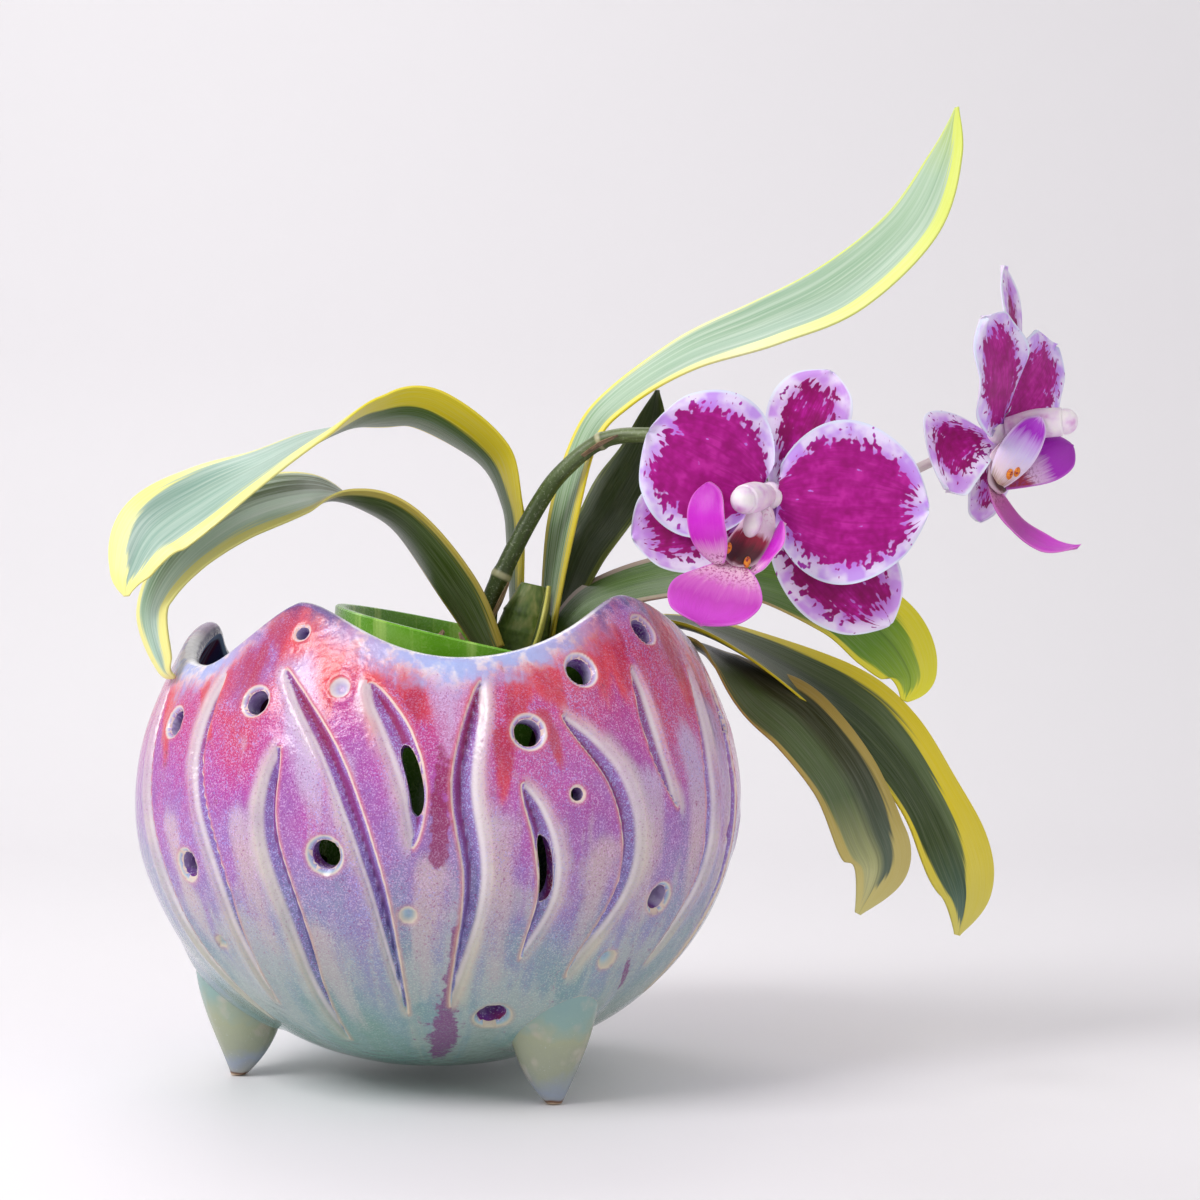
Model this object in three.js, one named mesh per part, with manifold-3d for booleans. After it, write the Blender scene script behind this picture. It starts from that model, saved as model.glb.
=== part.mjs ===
// Glazed stoneware orchid pot: a round bowl on three pointed feet, with a waved rim, air holes and
// carved flutes. It holds a slotted nursery pot with a variegated moth orchid in flower.
// Millimetres, +Z up, +Y away from the viewer, +X to the right.
// The origin is the centre of the bowl's flat underside.

import * as THREE from 'three';
import { mergeVertices } from 'three/addons/utils/BufferGeometryUtils.js';
import Module from 'manifold-3d';

const wasm = await Module();
wasm.setup();

// Bowl
const bowlRadius = 75; // widest outside radius
const bowlHeight = 113.5; // underside to the tallest crest of the rim
const beltHeight = 64.5; // height of the widest ring
const baseRadius = 21.4; // flat underside
const mouthRadius = 55; // outside radius at the tallest crest
const shoulderPower = 1.7; // roundness of the upper half
const bowlWall = 5;

// Feet
const footClearance = 5.2; // underside of the bowl above the table
const footRing = 47.5; // distance of a foot's middle from the bowl's axis
const footRadius = 10; // at the top, where the foot runs into the bowl
const footTipRadius = 2.8; // flat bare tip
const footRise = 33; // tip to the top of the foot
const footKick = 2.4; // the tip turns outward by this much

// Carving
const fluteDepth = 2.1;
const holeShoulder = 1.4; // width of the softened edge round a hole
const dimpleDepth = 1.7;

// Nursery pot
const nurseryRimRadius = 39;
const nurseryHeight = 94;
const nurseryBaseRadius = 28;
const nurseryWall = 1.4;
const nurseryBandHeight = 9;
const nurseryBandThickness = 1.1; // the band stands this far outside the wall
const nurseryTilt = 12.5; // degrees, left side up
const nurseryShift = 12.3; // rim centre to the right of the bowl's axis
const slotWidth = 4.2;
const slotCount = 12;
const mediumDrop = 9; // top of the bark below the rim of the nursery pot

// Plant
const crownShift = 8; // stem to the right of the nursery pot's middle
const stemRadius = 5.5;
const stemHeight = 24;
const leafThickness = 1.9;
const leafKeel = 0.14; // depth of the channel as a share of the half width
const driedThickness = 1; // dried sheaths and bracts
const spikeRadius = 2.4;
const spikeEndRadius = 1.5;
const pedicelRadius = 1.25;
const petalThickness = 1.1;
const hubClearance = 2.2; // a tepal starts this far from the hub
const sepalBack = 1.6; // sepals stand this far behind the petals
const columnRadius = 2.8;
const columnEndRadius = 3.8;
const hookShare = 0.25; // share of a lip lobe that turns up at its tip
const antherLength = 4.4;
const antherHeight = 3.4;

// Fit
const gap = 0.3; // clearance between pieces that touch

const { degToRad } = THREE.MathUtils;
const vector = (x, y, z) => new THREE.Vector3(x, y, z);

// Closed skin over a row of rings with the same number of points, with a fan over each end ring
function loft(rings) {
  const count = rings[0].length;
  const points = rings.flat();
  const faces = [];
  for (let ring = 0; ring + 1 < rings.length; ring += 1) {
    for (let i = 0; i < count; i += 1) {
      const a = ring * count + i;
      const b = ring * count + (i + 1) % count;
      faces.push(a, b, b + count, a, b + count, a + count);
    }
  }
  for (const ring of [0, rings.length - 1]) {
    const middle = points.length;
    const sum = rings[ring].reduce((total, point) => total.add(point), vector(0, 0, 0));
    points.push(sum.divideScalar(count));
    for (let i = 0; i < count; i += 1) {
      const a = ring * count + i;
      const b = ring * count + (i + 1) % count;
      faces.push(...(ring === 0 ? [middle, b, a] : [middle, a, b]));
    }
  }
  const volume = faces.reduce((total, _, i) => {
    if (i % 3) return total;
    const [a, b, c] = [points[faces[i]], points[faces[i + 1]], points[faces[i + 2]]];
    return total + a.dot(b.clone().cross(c));
  }, 0);
  if (volume < 0) faces.reverse();
  const geometry = new THREE.BufferGeometry();
  geometry.setAttribute('position', new THREE.Float32BufferAttribute(points.flatMap((p) => p.toArray()), 3));
  geometry.setIndex(faces);
  return geometry;
}

function solid(geometry) {
  const bare = geometry.clone();
  bare.deleteAttribute('normal');
  bare.deleteAttribute('uv');
  const merged = mergeVertices(bare, 1e-4);
  return new wasm.Manifold(new wasm.Mesh({
    numProp: 3,
    vertProperties: new Float32Array(merged.attributes.position.array),
    triVerts: new Uint32Array(merged.index.array),
  }));
}

function geometryOf(manifold) {
  const mesh = manifold.getMesh();
  const geometry = new THREE.BufferGeometry();
  geometry.setAttribute('position', new THREE.BufferAttribute(mesh.vertProperties, 3));
  geometry.setIndex(new THREE.BufferAttribute(mesh.triVerts, 1));
  return geometry;
}

// The largest body of a cut piece
function mainBody(manifold) {
  return manifold.decompose().sort((a, b) => b.volume() - a.volume())[0];
}

function mesh(name, geometry, color, roughness) {
  const material = new THREE.MeshStandardMaterial({ color, roughness, metalness: 0 });
  const node = new THREE.Mesh(geometry, material);
  node.name = name;
  return node;
}

// Smooth value through a row of evenly spaced values, at share t of the row
function smooth(values, t) {
  const place = t * (values.length - 1);
  const i = Math.min(Math.floor(place), values.length - 2);
  const u = place - i;
  const at = (k) => values[Math.min(Math.max(k, 0), values.length - 1)];
  const [a, b, c, d] = [at(i - 1), at(i), at(i + 1), at(i + 2)];
  return b + 0.5 * u * (c - a + u * (2 * a - 5 * b + 4 * c - d + u * (3 * (b - c) + d - a)));
}

const smoothRow = (rows, t) => rows[0].map((_, k) => smooth(rows.map((row) => row[k]), t));

// Bowl outline: an ellipse below the belt and a fuller curve above it
const lowerDepth = beltHeight / Math.sqrt(1 - (baseRadius / bowlRadius) ** 2);
const upperDepth = (bowlHeight - beltHeight)
  / (1 - (mouthRadius / bowlRadius) ** shoulderPower) ** (1 / shoulderPower);

function outsideRadius(z) {
  const rise = (z - beltHeight) / (z < beltHeight ? lowerDepth : upperDepth);
  const power = z < beltHeight ? 2 : shoulderPower;
  return bowlRadius * Math.max(0, 1 - Math.abs(rise) ** power) ** (1 / power);
}

// Outward normal of the bowl's outline in radius and height
function outlineNormal(z) {
  const step = 0.05;
  const slope = (outsideRadius(z + step) - outsideRadius(z - step)) / (2 * step);
  const length = Math.hypot(1, slope);
  return [1 / length, -slope / length];
}

const around = (radius, azimuth, z) => vector(radius * Math.sin(azimuth), -radius * Math.cos(azimuth), z);

// Point at a depth below the outside, measured square to the wall; azimuth 0 faces the viewer
function wallPoint(azimuth, z, depth) {
  const [outward, upward] = outlineNormal(z);
  return around(outsideRadius(z) - depth * outward, azimuth, z - depth * upward);
}

// Crests and dips of the rim: azimuth in degrees, and drop below the tallest crest
const rimWave = [
  [-95, 6.7], [-55, 16.5], [-31, 1.7], [8, 14], [57, 0],
  [108, 15.5], [140, 6], [168, 15], [200, 6.5], [234, 17.5],
];
const crestSharpness = 0.85;

function rimHeight(azimuth) {
  const start = rimWave[0][0];
  const degrees = start + ((((azimuth * 180) / Math.PI - start) % 360) + 360) % 360;
  const next = rimWave.findIndex(([place]) => place > degrees);
  const to = next < 0 ? rimWave.length : next;
  const [a, dropA] = rimWave[to - 1];
  const [b, dropB] = to < rimWave.length ? rimWave[to] : [start + 360, rimWave[0][1]];
  const share = (degrees - a) / (b - a);
  const fromCrest = dropA < dropB ? share : 1 - share;
  const fall = (1 - Math.cos(Math.PI * fromCrest ** crestSharpness)) / 2;
  const crest = Math.min(dropA, dropB);
  return bowlHeight - crest - fall * (Math.max(dropA, dropB) - crest);
}

// Bowl shell: rings up the outside, over the rounded lip and down the inside
function bowlShell() {
  const columns = 56;
  const lowerRows = 5;
  const upperRows = 4;
  const baseAngle = Math.asin(baseRadius / bowlRadius);
  const lipTurns = [45, 90, 135];
  const azimuths = Array.from({ length: columns }, (_, i) => (i / columns) * 2 * Math.PI);
  const lipEnd = azimuths.map((azimuth) => {
    const top = rimHeight(azimuth);
    return top - (bowlWall / 2) * (1 - outlineNormal(top)[1]);
  });
  const heights = [];
  for (let row = 0; row < lowerRows; row += 1) {
    const angle = baseAngle + (Math.PI / 2 - baseAngle) * (row / lowerRows);
    heights.push(azimuths.map(() => beltHeight - lowerDepth * Math.cos(angle)));
  }
  for (let row = 0; row <= upperRows; row += 1) {
    heights.push(lipEnd.map((end) => beltHeight + (end - beltHeight) * (row / upperRows)));
  }
  const rows = heights.map((row) => row.map((z, i) => wallPoint(azimuths[i], z, 0)));
  for (const turn of lipTurns.map(degToRad)) {
    rows.push(lipEnd.map((end, i) => {
      const [outward, upward] = outlineNormal(end);
      const middle = wallPoint(azimuths[i], end, bowlWall / 2);
      const across = (bowlWall / 2) * Math.cos(turn);
      const along = (bowlWall / 2) * Math.sin(turn);
      const shift = around(outward * across - upward * along, azimuths[i], upward * across + outward * along);
      return middle.add(shift);
    }));
  }
  const inside = heights.filter((_, row) => row !== 1 && row !== 3 && row !== heights.length - 2);
  inside.reverse();
  rows.push(...inside.map((row) => row.map((z, i) => wallPoint(azimuths[i], z, bowlWall))));
  return loft(rows);
}

// Foot: a cone with a full belly that leans into the bowl and turns out a little at its tip
function footGeometry(azimuth) {
  const sides = 12;
  const steps = 6;
  const rings = [];
  for (let step = 0; step <= steps; step += 1) {
    const share = (step / steps) ** 1.4;
    const radius = footTipRadius + (footRadius - footTipRadius) * (1 - (1 - share) ** 3);
    const place = footRing + footKick * (1 - share) ** 6 + 3 * share ** 2;
    const middle = around(place, azimuth, footRise * share - footClearance);
    rings.push(Array.from({ length: sides }, (_, i) => {
      const turn = (i / sides) * 2 * Math.PI;
      return around(radius, turn, 0).add(middle);
    }));
  }
  return loft(rings);
}

// The space inside the lower bowl, a little larger, so that a foot ends within the wall
function innerPlug() {
  const depth = bowlWall - 1;
  const profile = [[0, wallPoint(0, 0, depth).z]];
  const rows = 6;
  for (let row = 0; row <= rows; row += 1) {
    const point = wallPoint(0, (beltHeight * row) / rows, depth);
    profile.push([-point.y, point.z]);
  }
  profile.push([0, profile.at(-1)[1]]);
  const outline = profile.map(([radius, z]) => new THREE.Vector2(radius, z));
  return new THREE.LatheGeometry(outline, 40).rotateX(Math.PI / 2);
}

// Frame on the bowl's outside: the place, the way out, the way round and the way up the wall
function wallFrame(azimuth, z) {
  const [outward, upward] = outlineNormal(z);
  return {
    place: wallPoint(azimuth, z, 0),
    out: around(outward, azimuth, upward),
    round: around(1, azimuth + Math.PI / 2, 0),
    up: around(-upward, azimuth, outward),
  };
}

// Hole or dimple: rings square to the wall, given as [height above the wall, radius]
function roundCutter([degrees, rise], levels) {
  const { place, out, round, up } = wallFrame(degToRad(degrees), (rise / 100) * bowlHeight);
  const sides = 8;
  return loft(levels.map(([height, radius]) => Array.from({ length: sides }, (_, i) => {
    const turn = (i / sides) * 2 * Math.PI;
    return place.clone()
      .addScaledVector(out, height)
      .addScaledVector(round, radius * Math.cos(turn))
      .addScaledVector(up, radius * Math.sin(turn));
  })));
}

const airHole = (place, radius) => roundCutter(place, [
  [holeShoulder, radius + 1.7 * holeShoulder],
  [-holeShoulder, radius],
  [-bowlWall - holeShoulder, radius],
]);

const dimple = (place, radius) => roundCutter(place, [
  [1, radius * 1.5],
  [-dimpleDepth, radius * 0.6],
]);

// Flute: a leaf-shaped valley along a row of [azimuth, rise] points, sharp at both ends.
// Corners are given as [share of the half width, height above the wall].
function fluteCutter(route, halfWidth, from, to, corners) {
  const steps = 6;
  const rings = [];
  for (let step = 0; step <= steps; step += 1) {
    const t = from + ((to - from) * step) / steps;
    const [degrees, rise] = smoothRow(route, t);
    const [aheadDegrees, aheadRise] = smoothRow(route, Math.min(t + 0.01, 1));
    const [backDegrees, backRise] = smoothRow(route, Math.max(t - 0.01, 0));
    const z = (rise / 100) * bowlHeight;
    const { place, out, round, up } = wallFrame(degToRad(degrees), z);
    const acrossStep = degToRad(aheadDegrees - backDegrees) * outsideRadius(z);
    const alongStep = ((aheadRise - backRise) / 100) * bowlHeight;
    const side = round.clone().multiplyScalar(alongStep).addScaledVector(up, -acrossStep).normalize();
    const swell = Math.sin(Math.PI * (0.03 + (0.94 * step) / steps) ** 0.85) ** 0.8;
    rings.push(corners.map(([share, height]) => place.clone()
      .addScaledVector(side, share * halfWidth * swell)
      .addScaledVector(out, height > 0 ? height : height * Math.min(1, 1.3 * swell))));
  }
  return loft(rings);
}

const valley = [[-1.5, 1.1], [0, -fluteDepth], [1.5, 1.1]];
const throughSlot = [[-1, 1], [-1, -bowlWall - 2], [1, -bowlWall - 2], [1, 1]];

// Flutes that face the viewer: top to tail as [azimuth, rise in % of the height], half width, slot
const frontFlutes = [
  { route: [[-68, 83], [-63, 62], [-57.5, 36], [-50, 12]], width: 3 },
  { route: [[-44, 84], [-45.5, 68], [-39, 42], [-38.5, 17]], width: 2.8 },
  { route: [[-26, 70], [-27.3, 54], [-23.5, 32], [-24.5, 9]], width: 3.2 },
  { route: [[-28, 85], [-15.5, 68], [-7.6, 44], [-4, 16]], width: 2.8 },
  { route: [[-10, 82.5], [-4.5, 73], [-1, 62], [-1, 51]], width: 4, slot: [0.4, 0.8] },
  { route: [[12, 83], [8.5, 64], [10.3, 43], [6.5, 18]], width: 3.7 },
  { route: [[18.4, 63.5], [22.5, 52], [23.5, 41], [20, 28]], width: 3.6, slot: [0.3, 0.72] },
  { route: [[27, 76.5], [37, 63], [39.7, 44], [31, 24]], width: 3.6 },
  { route: [[46.6, 85.5], [46.5, 75], [47.5, 66], [50.5, 57]], width: 3 },
  { route: [[67.4, 84.5], [62.5, 63], [62, 43], [54, 24]], width: 3.6 },
  { route: [[80, 84], [74, 62], [73, 40], [68, 16]], width: 3.2 },
];

// The carving goes on round the back in the same way, one flute long and the next short
const backFlutes = Array.from({ length: 11 }, (_, i) => {
  const azimuth = 97 + 16.8 * i;
  const top = i % 2 ? 70 : 83;
  const bend = i % 3 ? 4 : -4;
  const tail = 12 + 6 * (i % 3);
  const route = [[azimuth, top], [azimuth + bend, top - 20], [azimuth - bend, tail + 20], [azimuth, tail]];
  return { route, width: 3 + 0.3 * (i % 3), slot: i % 5 === 2 ? [0.3, 0.7] : undefined };
});

// Air holes as [azimuth, rise in % of the height] and bore radius
const airHoles = [
  [[-26.9, 92.3], 1.7], [[-32.9, 78.7], 2.9], [[-56, 73.8], 3], [[-16.1, 49.4], 3.4],
  [[-47.8, 45.4], 3], [[19.7, 73.1], 3.2], [[32.7, 84.9], 3.3], [[27.9, 60.9], 1.5],
  [[55.1, 92.7], 3.2], [[48.5, 38.5], 3], [[16.6, 15.3], 3.4], [[78, 73], 2.4],
];

const dimples = [
  [[-15.3, 81.7], 2.2], [[-1.9, 37.7], 1.9], [[-50, 29.5], 1.6], [[41, 29], 1.8], [[71, 50], 1.8],
];

for (let i = 0; i < 11; i += 1) {
  const azimuth = 88.6 + 16.8 * i;
  airHoles.push([[azimuth, i % 2 ? 76 : 48], 3.1]);
  dimples.push([[azimuth + 1, i % 2 ? 38 : 70], 1.8]);
}

// Slot through the wall along the middle of a flute
const slotHalfWidth = 1.7;

function ceramicPot() {
  const plug = solid(innerPlug());
  let pot = solid(bowlShell());
  for (const degrees of [-83, 36, 155]) {
    pot = pot.add(solid(footGeometry(degToRad(degrees))).subtract(plug));
  }
  const cutters = [];
  for (const { route, width, slot } of [...frontFlutes, ...backFlutes]) {
    cutters.push(fluteCutter(route, width, 0, 1, valley));
    if (slot) cutters.push(fluteCutter(route, slotHalfWidth, ...slot, throughSlot));
  }
  cutters.push(...airHoles.map(([place, radius]) => airHole(place, radius)));
  cutters.push(...dimples.map(([place, radius]) => dimple(place, radius)));
  for (const cutter of cutters) pot = pot.subtract(solid(cutter));
  return mainBody(pot);
}

// Nursery pot, in its own upright frame with the rim's centre at the origin
const nurseryRadiusAt = (drop) => nurseryRimRadius
  + ((nurseryBaseRadius - nurseryRimRadius) * drop) / nurseryHeight;

const nurserySides = 32;

const latheZ = (outline, sides) => new THREE.LatheGeometry(
  outline.map(([radius, z]) => new THREE.Vector2(radius, z)),
  sides,
).rotateX(Math.PI / 2);

function nurseryPot() {
  const band = nurseryBandHeight;
  const floor = -nurseryHeight + nurseryWall;
  const outline = [
    [0, -nurseryHeight],
    [nurseryBaseRadius, -nurseryHeight],
    [nurseryRadiusAt(band) - nurseryBandThickness, -band],
    [nurseryRadiusAt(band), -band],
    [nurseryRimRadius, 0],
    [nurseryRimRadius - nurseryWall - nurseryBandThickness, 0],
    [nurseryRadiusAt(band) - nurseryBandThickness - nurseryWall, -band],
    [nurseryBaseRadius - nurseryWall, floor],
    [0, floor],
  ];
  let pot = solid(latheZ(outline, nurserySides));
  const slotTiers = [[14, 16], [36, 18], [60, 18]];
  for (const [drop, height] of slotTiers) {
    for (let i = 0; i < slotCount; i += 1) {
      const cutter = new THREE.BoxGeometry(slotWidth, 14, height);
      cutter.translate(0, nurseryRadiusAt(drop + height / 2) - 2, -drop - height / 2);
      cutter.rotateZ(((i + 0.5) / slotCount) * 2 * Math.PI);
      pot = pot.subtract(solid(cutter));
    }
  }
  const drain = new THREE.CylinderGeometry(5, 5, 6, 12).rotateX(Math.PI / 2).translate(0, 0, -nurseryHeight);
  return pot.subtract(solid(drain));
}

// Inside of the bowl: lowest free height at a distance from the axis
function floorHeight(radius) {
  const floor = wallPoint(0, 0, bowlWall).z;
  let height = floor;
  for (let z = 0; z < beltHeight; z += 0.25) {
    const point = wallPoint(0, z, bowlWall);
    if (-point.y > radius) break;
    height = Math.max(floor, point.z);
  }
  return height;
}

// The nursery pot leans to the right and stands on the bowl's floor on its lowest edge
const tilt = degToRad(nurseryTilt);
const nurseryTurn = new THREE.Euler(degToRad(1.5), tilt, 0);

function nurseryRimCentre() {
  const centre = vector(nurseryShift, 0, 0);
  let lift = -Infinity;
  for (let i = 0; i < nurserySides; i += 1) {
    const turn = (i / nurserySides) * 2 * Math.PI;
    const edge = around(nurseryBaseRadius, turn, -nurseryHeight).applyEuler(nurseryTurn).add(centre);
    lift = Math.max(lift, floorHeight(Math.hypot(edge.x, edge.y)) - edge.z);
  }
  return centre.setZ(lift + gap);
}

const nurseryCentre = nurseryRimCentre();
const inNursery = (geometry) => {
  const matrix = new THREE.Matrix4().makeRotationFromEuler(nurseryTurn).setPosition(nurseryCentre);
  return geometry.clone().applyMatrix4(matrix);
};

// Bark: fills the nursery pot up to the foot of the stem
function barkMedium() {
  const inside = nurseryWall + nurseryBandThickness + 2 * gap;
  return latheZ([
    [0, -nurseryHeight + nurseryWall + gap],
    [nurseryBaseRadius - nurseryWall - 2 * gap, -nurseryHeight + nurseryWall + gap],
    [nurseryRadiusAt(mediumDrop) - inside, -mediumDrop],
    [0, -mediumDrop],
  ], 24);
}

// Chip of bark lying on the medium: a flat lump, thinner at its ends
const chipThickness = 3.2;

function barkChip(x, y, turnDegrees, length) {
  const chip = new THREE.BoxGeometry(length, length * 0.62, chipThickness, 2, 1, 1);
  const position = chip.attributes.position;
  for (let i = 0; i < position.count; i += 1) {
    const along = position.getX(i) / length;
    const pinch = 1 - 1.4 * along * along;
    position.setY(i, position.getY(i) * pinch);
    position.setZ(i, position.getZ(i) * pinch);
  }
  chip.rotateZ(degToRad(turnDegrees));
  return mergeVertices(bareCopy(chip).translate(x, y, -mediumDrop + chipThickness / 2 + gap), 1e-4);
}

function bareCopy(geometry) {
  const bare = geometry.clone();
  bare.deleteAttribute('normal');
  bare.deleteAttribute('uv');
  return bare;
}

// Stem: a short flattened column, widest where the leaf bases clasp it
function crownStem(grow) {
  const rings = [];
  const steps = 4;
  for (let step = 0; step <= steps; step += 1) {
    const share = step / steps;
    const radius = stemRadius * (0.8 + 0.35 * Math.sin(Math.PI * share) - 0.35 * share) + grow;
    const end = step === 0 ? -grow : grow * (step === steps);
    const z = -mediumDrop + gap + stemHeight * share + end;
    rings.push(Array.from({ length: 12 }, (_, i) => {
      const turn = (i / 12) * 2 * Math.PI;
      return vector(crownShift + 1.25 * radius * Math.cos(turn), 0.8 * radius * Math.sin(turn), z);
    }));
  }
  return inNursery(loft(rings));
}

const crown = vector(crownShift, 0, -mediumDrop + gap).applyEuler(nurseryTurn).add(nurseryCentre);

// Blade of a leaf, petal or sheath along a row of stations [x, y, z, half width, roll].
// toLeft says on which side of the crown the leaf arches; roll in degrees turns its upper face to the viewer.
function bladeGeometry(stations, { toLeft, thickness, keel, count = 12, grow = 0 }) {
  const rings = [];
  const at = (t) => vector(...smoothRow(stations, Math.min(Math.max(t, 0), 1)).slice(0, 3));
  for (let step = 0; step <= count; step += 1) {
    const t = step / count;
    const tangent = at(t + 0.01).sub(at(t - 0.01)).normalize();
    const near = vector(0, -1, 0).addScaledVector(tangent, tangent.y).normalize();
    const upper = toLeft ? tangent.clone().cross(near) : near.clone().cross(tangent);
    const [, , , width, rollDegrees] = smoothRow(stations, t);
    const roll = degToRad(rollDegrees);
    const side = near.clone().multiplyScalar(Math.cos(roll)).addScaledVector(upper, -Math.sin(roll));
    const face = upper.clone().multiplyScalar(Math.cos(roll)).addScaledVector(near, Math.sin(roll));
    const half = thickness / 2 + grow;
    const edge = 0.55 * half;
    const fold = keel * width;
    const end = (step === 0 ? -grow : 0) + (step === count ? grow : 0);
    const section = [
      [-width - grow, edge], [0, half - fold], [width + grow, edge],
      [width + grow, -edge], [0, -half - fold], [-width - grow, -edge],
    ];
    rings.push(section.map(([across, height]) => at(t)
      .addScaledVector(tangent, end)
      .addScaledVector(side, across)
      .addScaledVector(face, height)));
  }
  return loft(rings);
}

// Leaves, each as stations measured from the foot of the stem. Where a leaf hangs over the rim, one of
// its rows has its place there: above the rim and outward of the wall.
const leaves = [
  {
    name: 'leaf_left_lower',
    toLeft: true,
    overRim: { row: 8, azimuth: -65, above: -1.4, outward: 5.4 },
    stations: [
      [-5, -7, 7, 6, -35], [-13, -8, 22, 9.5, -33], [-26, -9, 39, 11, -22], [-38, -10, 45, 11, -6],
      [-50, -11, 46.5, 11.5, 26], [-66, -14, 42, 12, 37], [-79.5, -20, 31, 11, 40],
      [-86, -25.5, 17.5, 8.5, 35], [-82, -30, 4, 4, 35], [-79.2, -31, 1.2, 1, 35],
    ],
  },
  {
    name: 'leaf_left_upper',
    toLeft: true,
    stations: [
      [1, 9, 8, 6, -10], [0.5, 10.5, 31, 8, -15], [-0.5, 8, 44, 10, -15], [-6, 4, 56.5, 11, -22],
      [-21, -6, 66.5, 11.5, -22], [-34, -12, 66, 11.5, -11], [-47, -17, 60.5, 12, 11],
      [-60, -22, 53, 12, 27], [-73, -26, 45.5, 12, 45], [-85, -30, 36.5, 11, 56],
      [-89.5, -33, 26, 6, 60], [-90, -34, 20.5, 1.2, 60],
    ],
  },
  {
    name: 'leaf_right_tall',
    toLeft: false,
    stations: [
      [8, 2, 8, 6, 15], [12, 3, 38, 8, 27], [18, 5, 60, 9.5, 20], [27, 6, 71, 10.5, 24],
      [44, 7, 82, 11.5, 26], [64, 9, 90, 12.5, 32], [83, 10, 99, 12.5, 41], [101, 12, 115, 10.5, 38],
      [110, 13, 133, 6, 34], [113, 13.5, 145.5, 1.2, 34],
    ],
  },
  {
    name: 'leaf_right_back',
    toLeft: false,
    stations: [
      [9, 9, 9, 6, 30], [17, 11, 31, 8, 45], [23.5, 13, 41.5, 9, 48], [30, 15, 53, 8.5, 48],
      [34.5, 16, 64, 5, 48], [36.5, 16.5, 73.5, 1, 48],
    ],
  },
  {
    name: 'leaf_right_middle',
    toLeft: false,
    stations: [
      [9, -4, 8, 6, 20], [20, -1, 20, 8.5, 28], [44, 0, 26.5, 11, 30], [64, 2, 25.5, 12.5, 34],
      [82, 2, 19.5, 13, 45], [93.5, 0, 10.5, 12, 60], [99, -2, 1, 8, 60], [97.5, -3, -5.5, 1.5, 60],
    ],
  },
  {
    name: 'leaf_right_outer',
    toLeft: false,
    overRim: { row: 2, azimuth: 106.9, above: 9.2, outward: -2.1 },
    stations: [
      [8, 9, 5, 6, 0], [24, 14, 14, 8, 0], [42, 18, 14.5, 9, 5], [60, 20, 8.5, 11, 20],
      [84, 21, -4.5, 13, 38], [97, 20, -16, 13, 45], [107, 19, -30.5, 13, 45],
      [113.5, 18, -44.5, 12.5, 50], [116, 17, -56, 9.5, 50], [113.5, 16, -66.5, 1.5, 50],
    ],
  },
  {
    name: 'leaf_right_front',
    toLeft: false,
    overRim: { row: 2, azimuth: 102.9, above: 3.9, outward: -1.2 },
    stations: [
      [8, 3, 2, 6, 0], [25, 9, 11, 8, -5], [44, 14, 9.5, 7.5, -5], [54, 13, 4, 9.5, 20],
      [63, 9, -3.5, 10.5, 42], [73, 5, -11.5, 11.5, 48], [83, 0, -24.5, 12, 50],
      [88.5, -4, -37.5, 11.5, 52], [91, -6, -47, 9.5, 52], [85.5, -7, -58, 1.5, 52],
    ],
  },
];

// Short sheaths: the clasping base of the front leaf, two dried old bases, and the bracts of the spike
const sheaths = [
  {
    name: 'leaf_base_front',
    thickness: leafThickness,
    color: '#8f8a3a',
    stations: [[3, -9, 3, 3, 0], [5.5, -9.6, 9, 5.5, 5], [7.5, -9.8, 16, 5.5, 5], [9, -9.5, 23, 1.5, 5]],
  },
  {
    name: 'dried_sheath_1',
    thickness: driedThickness,
    color: '#7a5232',
    stations: [[-18, -13, 4.1, 2, 20], [-18.5, -14.5, 8, 3, 20], [-16.5, -16, 12, 1, 20]],
  },
  {
    name: 'dried_sheath_2',
    thickness: driedThickness,
    color: '#6b4526',
    stations: [[-9.5, -15, 2.5, 2, 0], [-11, -17, 7, 3.2, 0], [-12.5, -18, 11.5, 1, 0]],
  },
  {
    name: 'spike_bract_lower',
    spikeRow: 1.4,
    thickness: driedThickness,
    color: '#6f6a3a',
    stations: [[-5.4, -5.6, 15, 1.8, 0], [-3.3, -5.6, 19.5, 2.2, 0], [-1, -5.6, 24, 0.6, 0]],
  },
  {
    name: 'spike_bract_upper',
    spikeRow: 5,
    thickness: driedThickness,
    color: '#6f6a3a',
    stations: [[17.5, -9, 55.5, 1.6, 0], [21.5, -10.6, 58.2, 2, 0], [26, -12.6, 60, 0.6, 0]],
  },
];

// From a row to the place that it has over the rim
function rimShift(rows, overRim) {
  const azimuth = degToRad(overRim.azimuth);
  const z = rimHeight(azimuth);
  const place = around(outsideRadius(z) + overRim.outward, azimuth, z + overRim.above).sub(crown);
  return place.sub(vector(...rows[overRim.row].slice(0, 3)));
}

const shifted = ([x, y, z, ...rest], shift) => [x + shift.x, y + shift.y, z + shift.z, ...rest];

// Rows up to the one over the rim shift by their share, and the rest by as much as it does
function hungOverRim(rows, overRim) {
  if (!overRim) return rows;
  const shift = rimShift(rows, overRim);
  return rows.map((row, i) => shifted(row, shift.clone().multiplyScalar(Math.min(1, i / overRim.row))));
}

const fromCrown = (rows) => rows.map(([x, y, z, ...rest]) => [x + crown.x, y + crown.y, z + crown.z, ...rest]);

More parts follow.
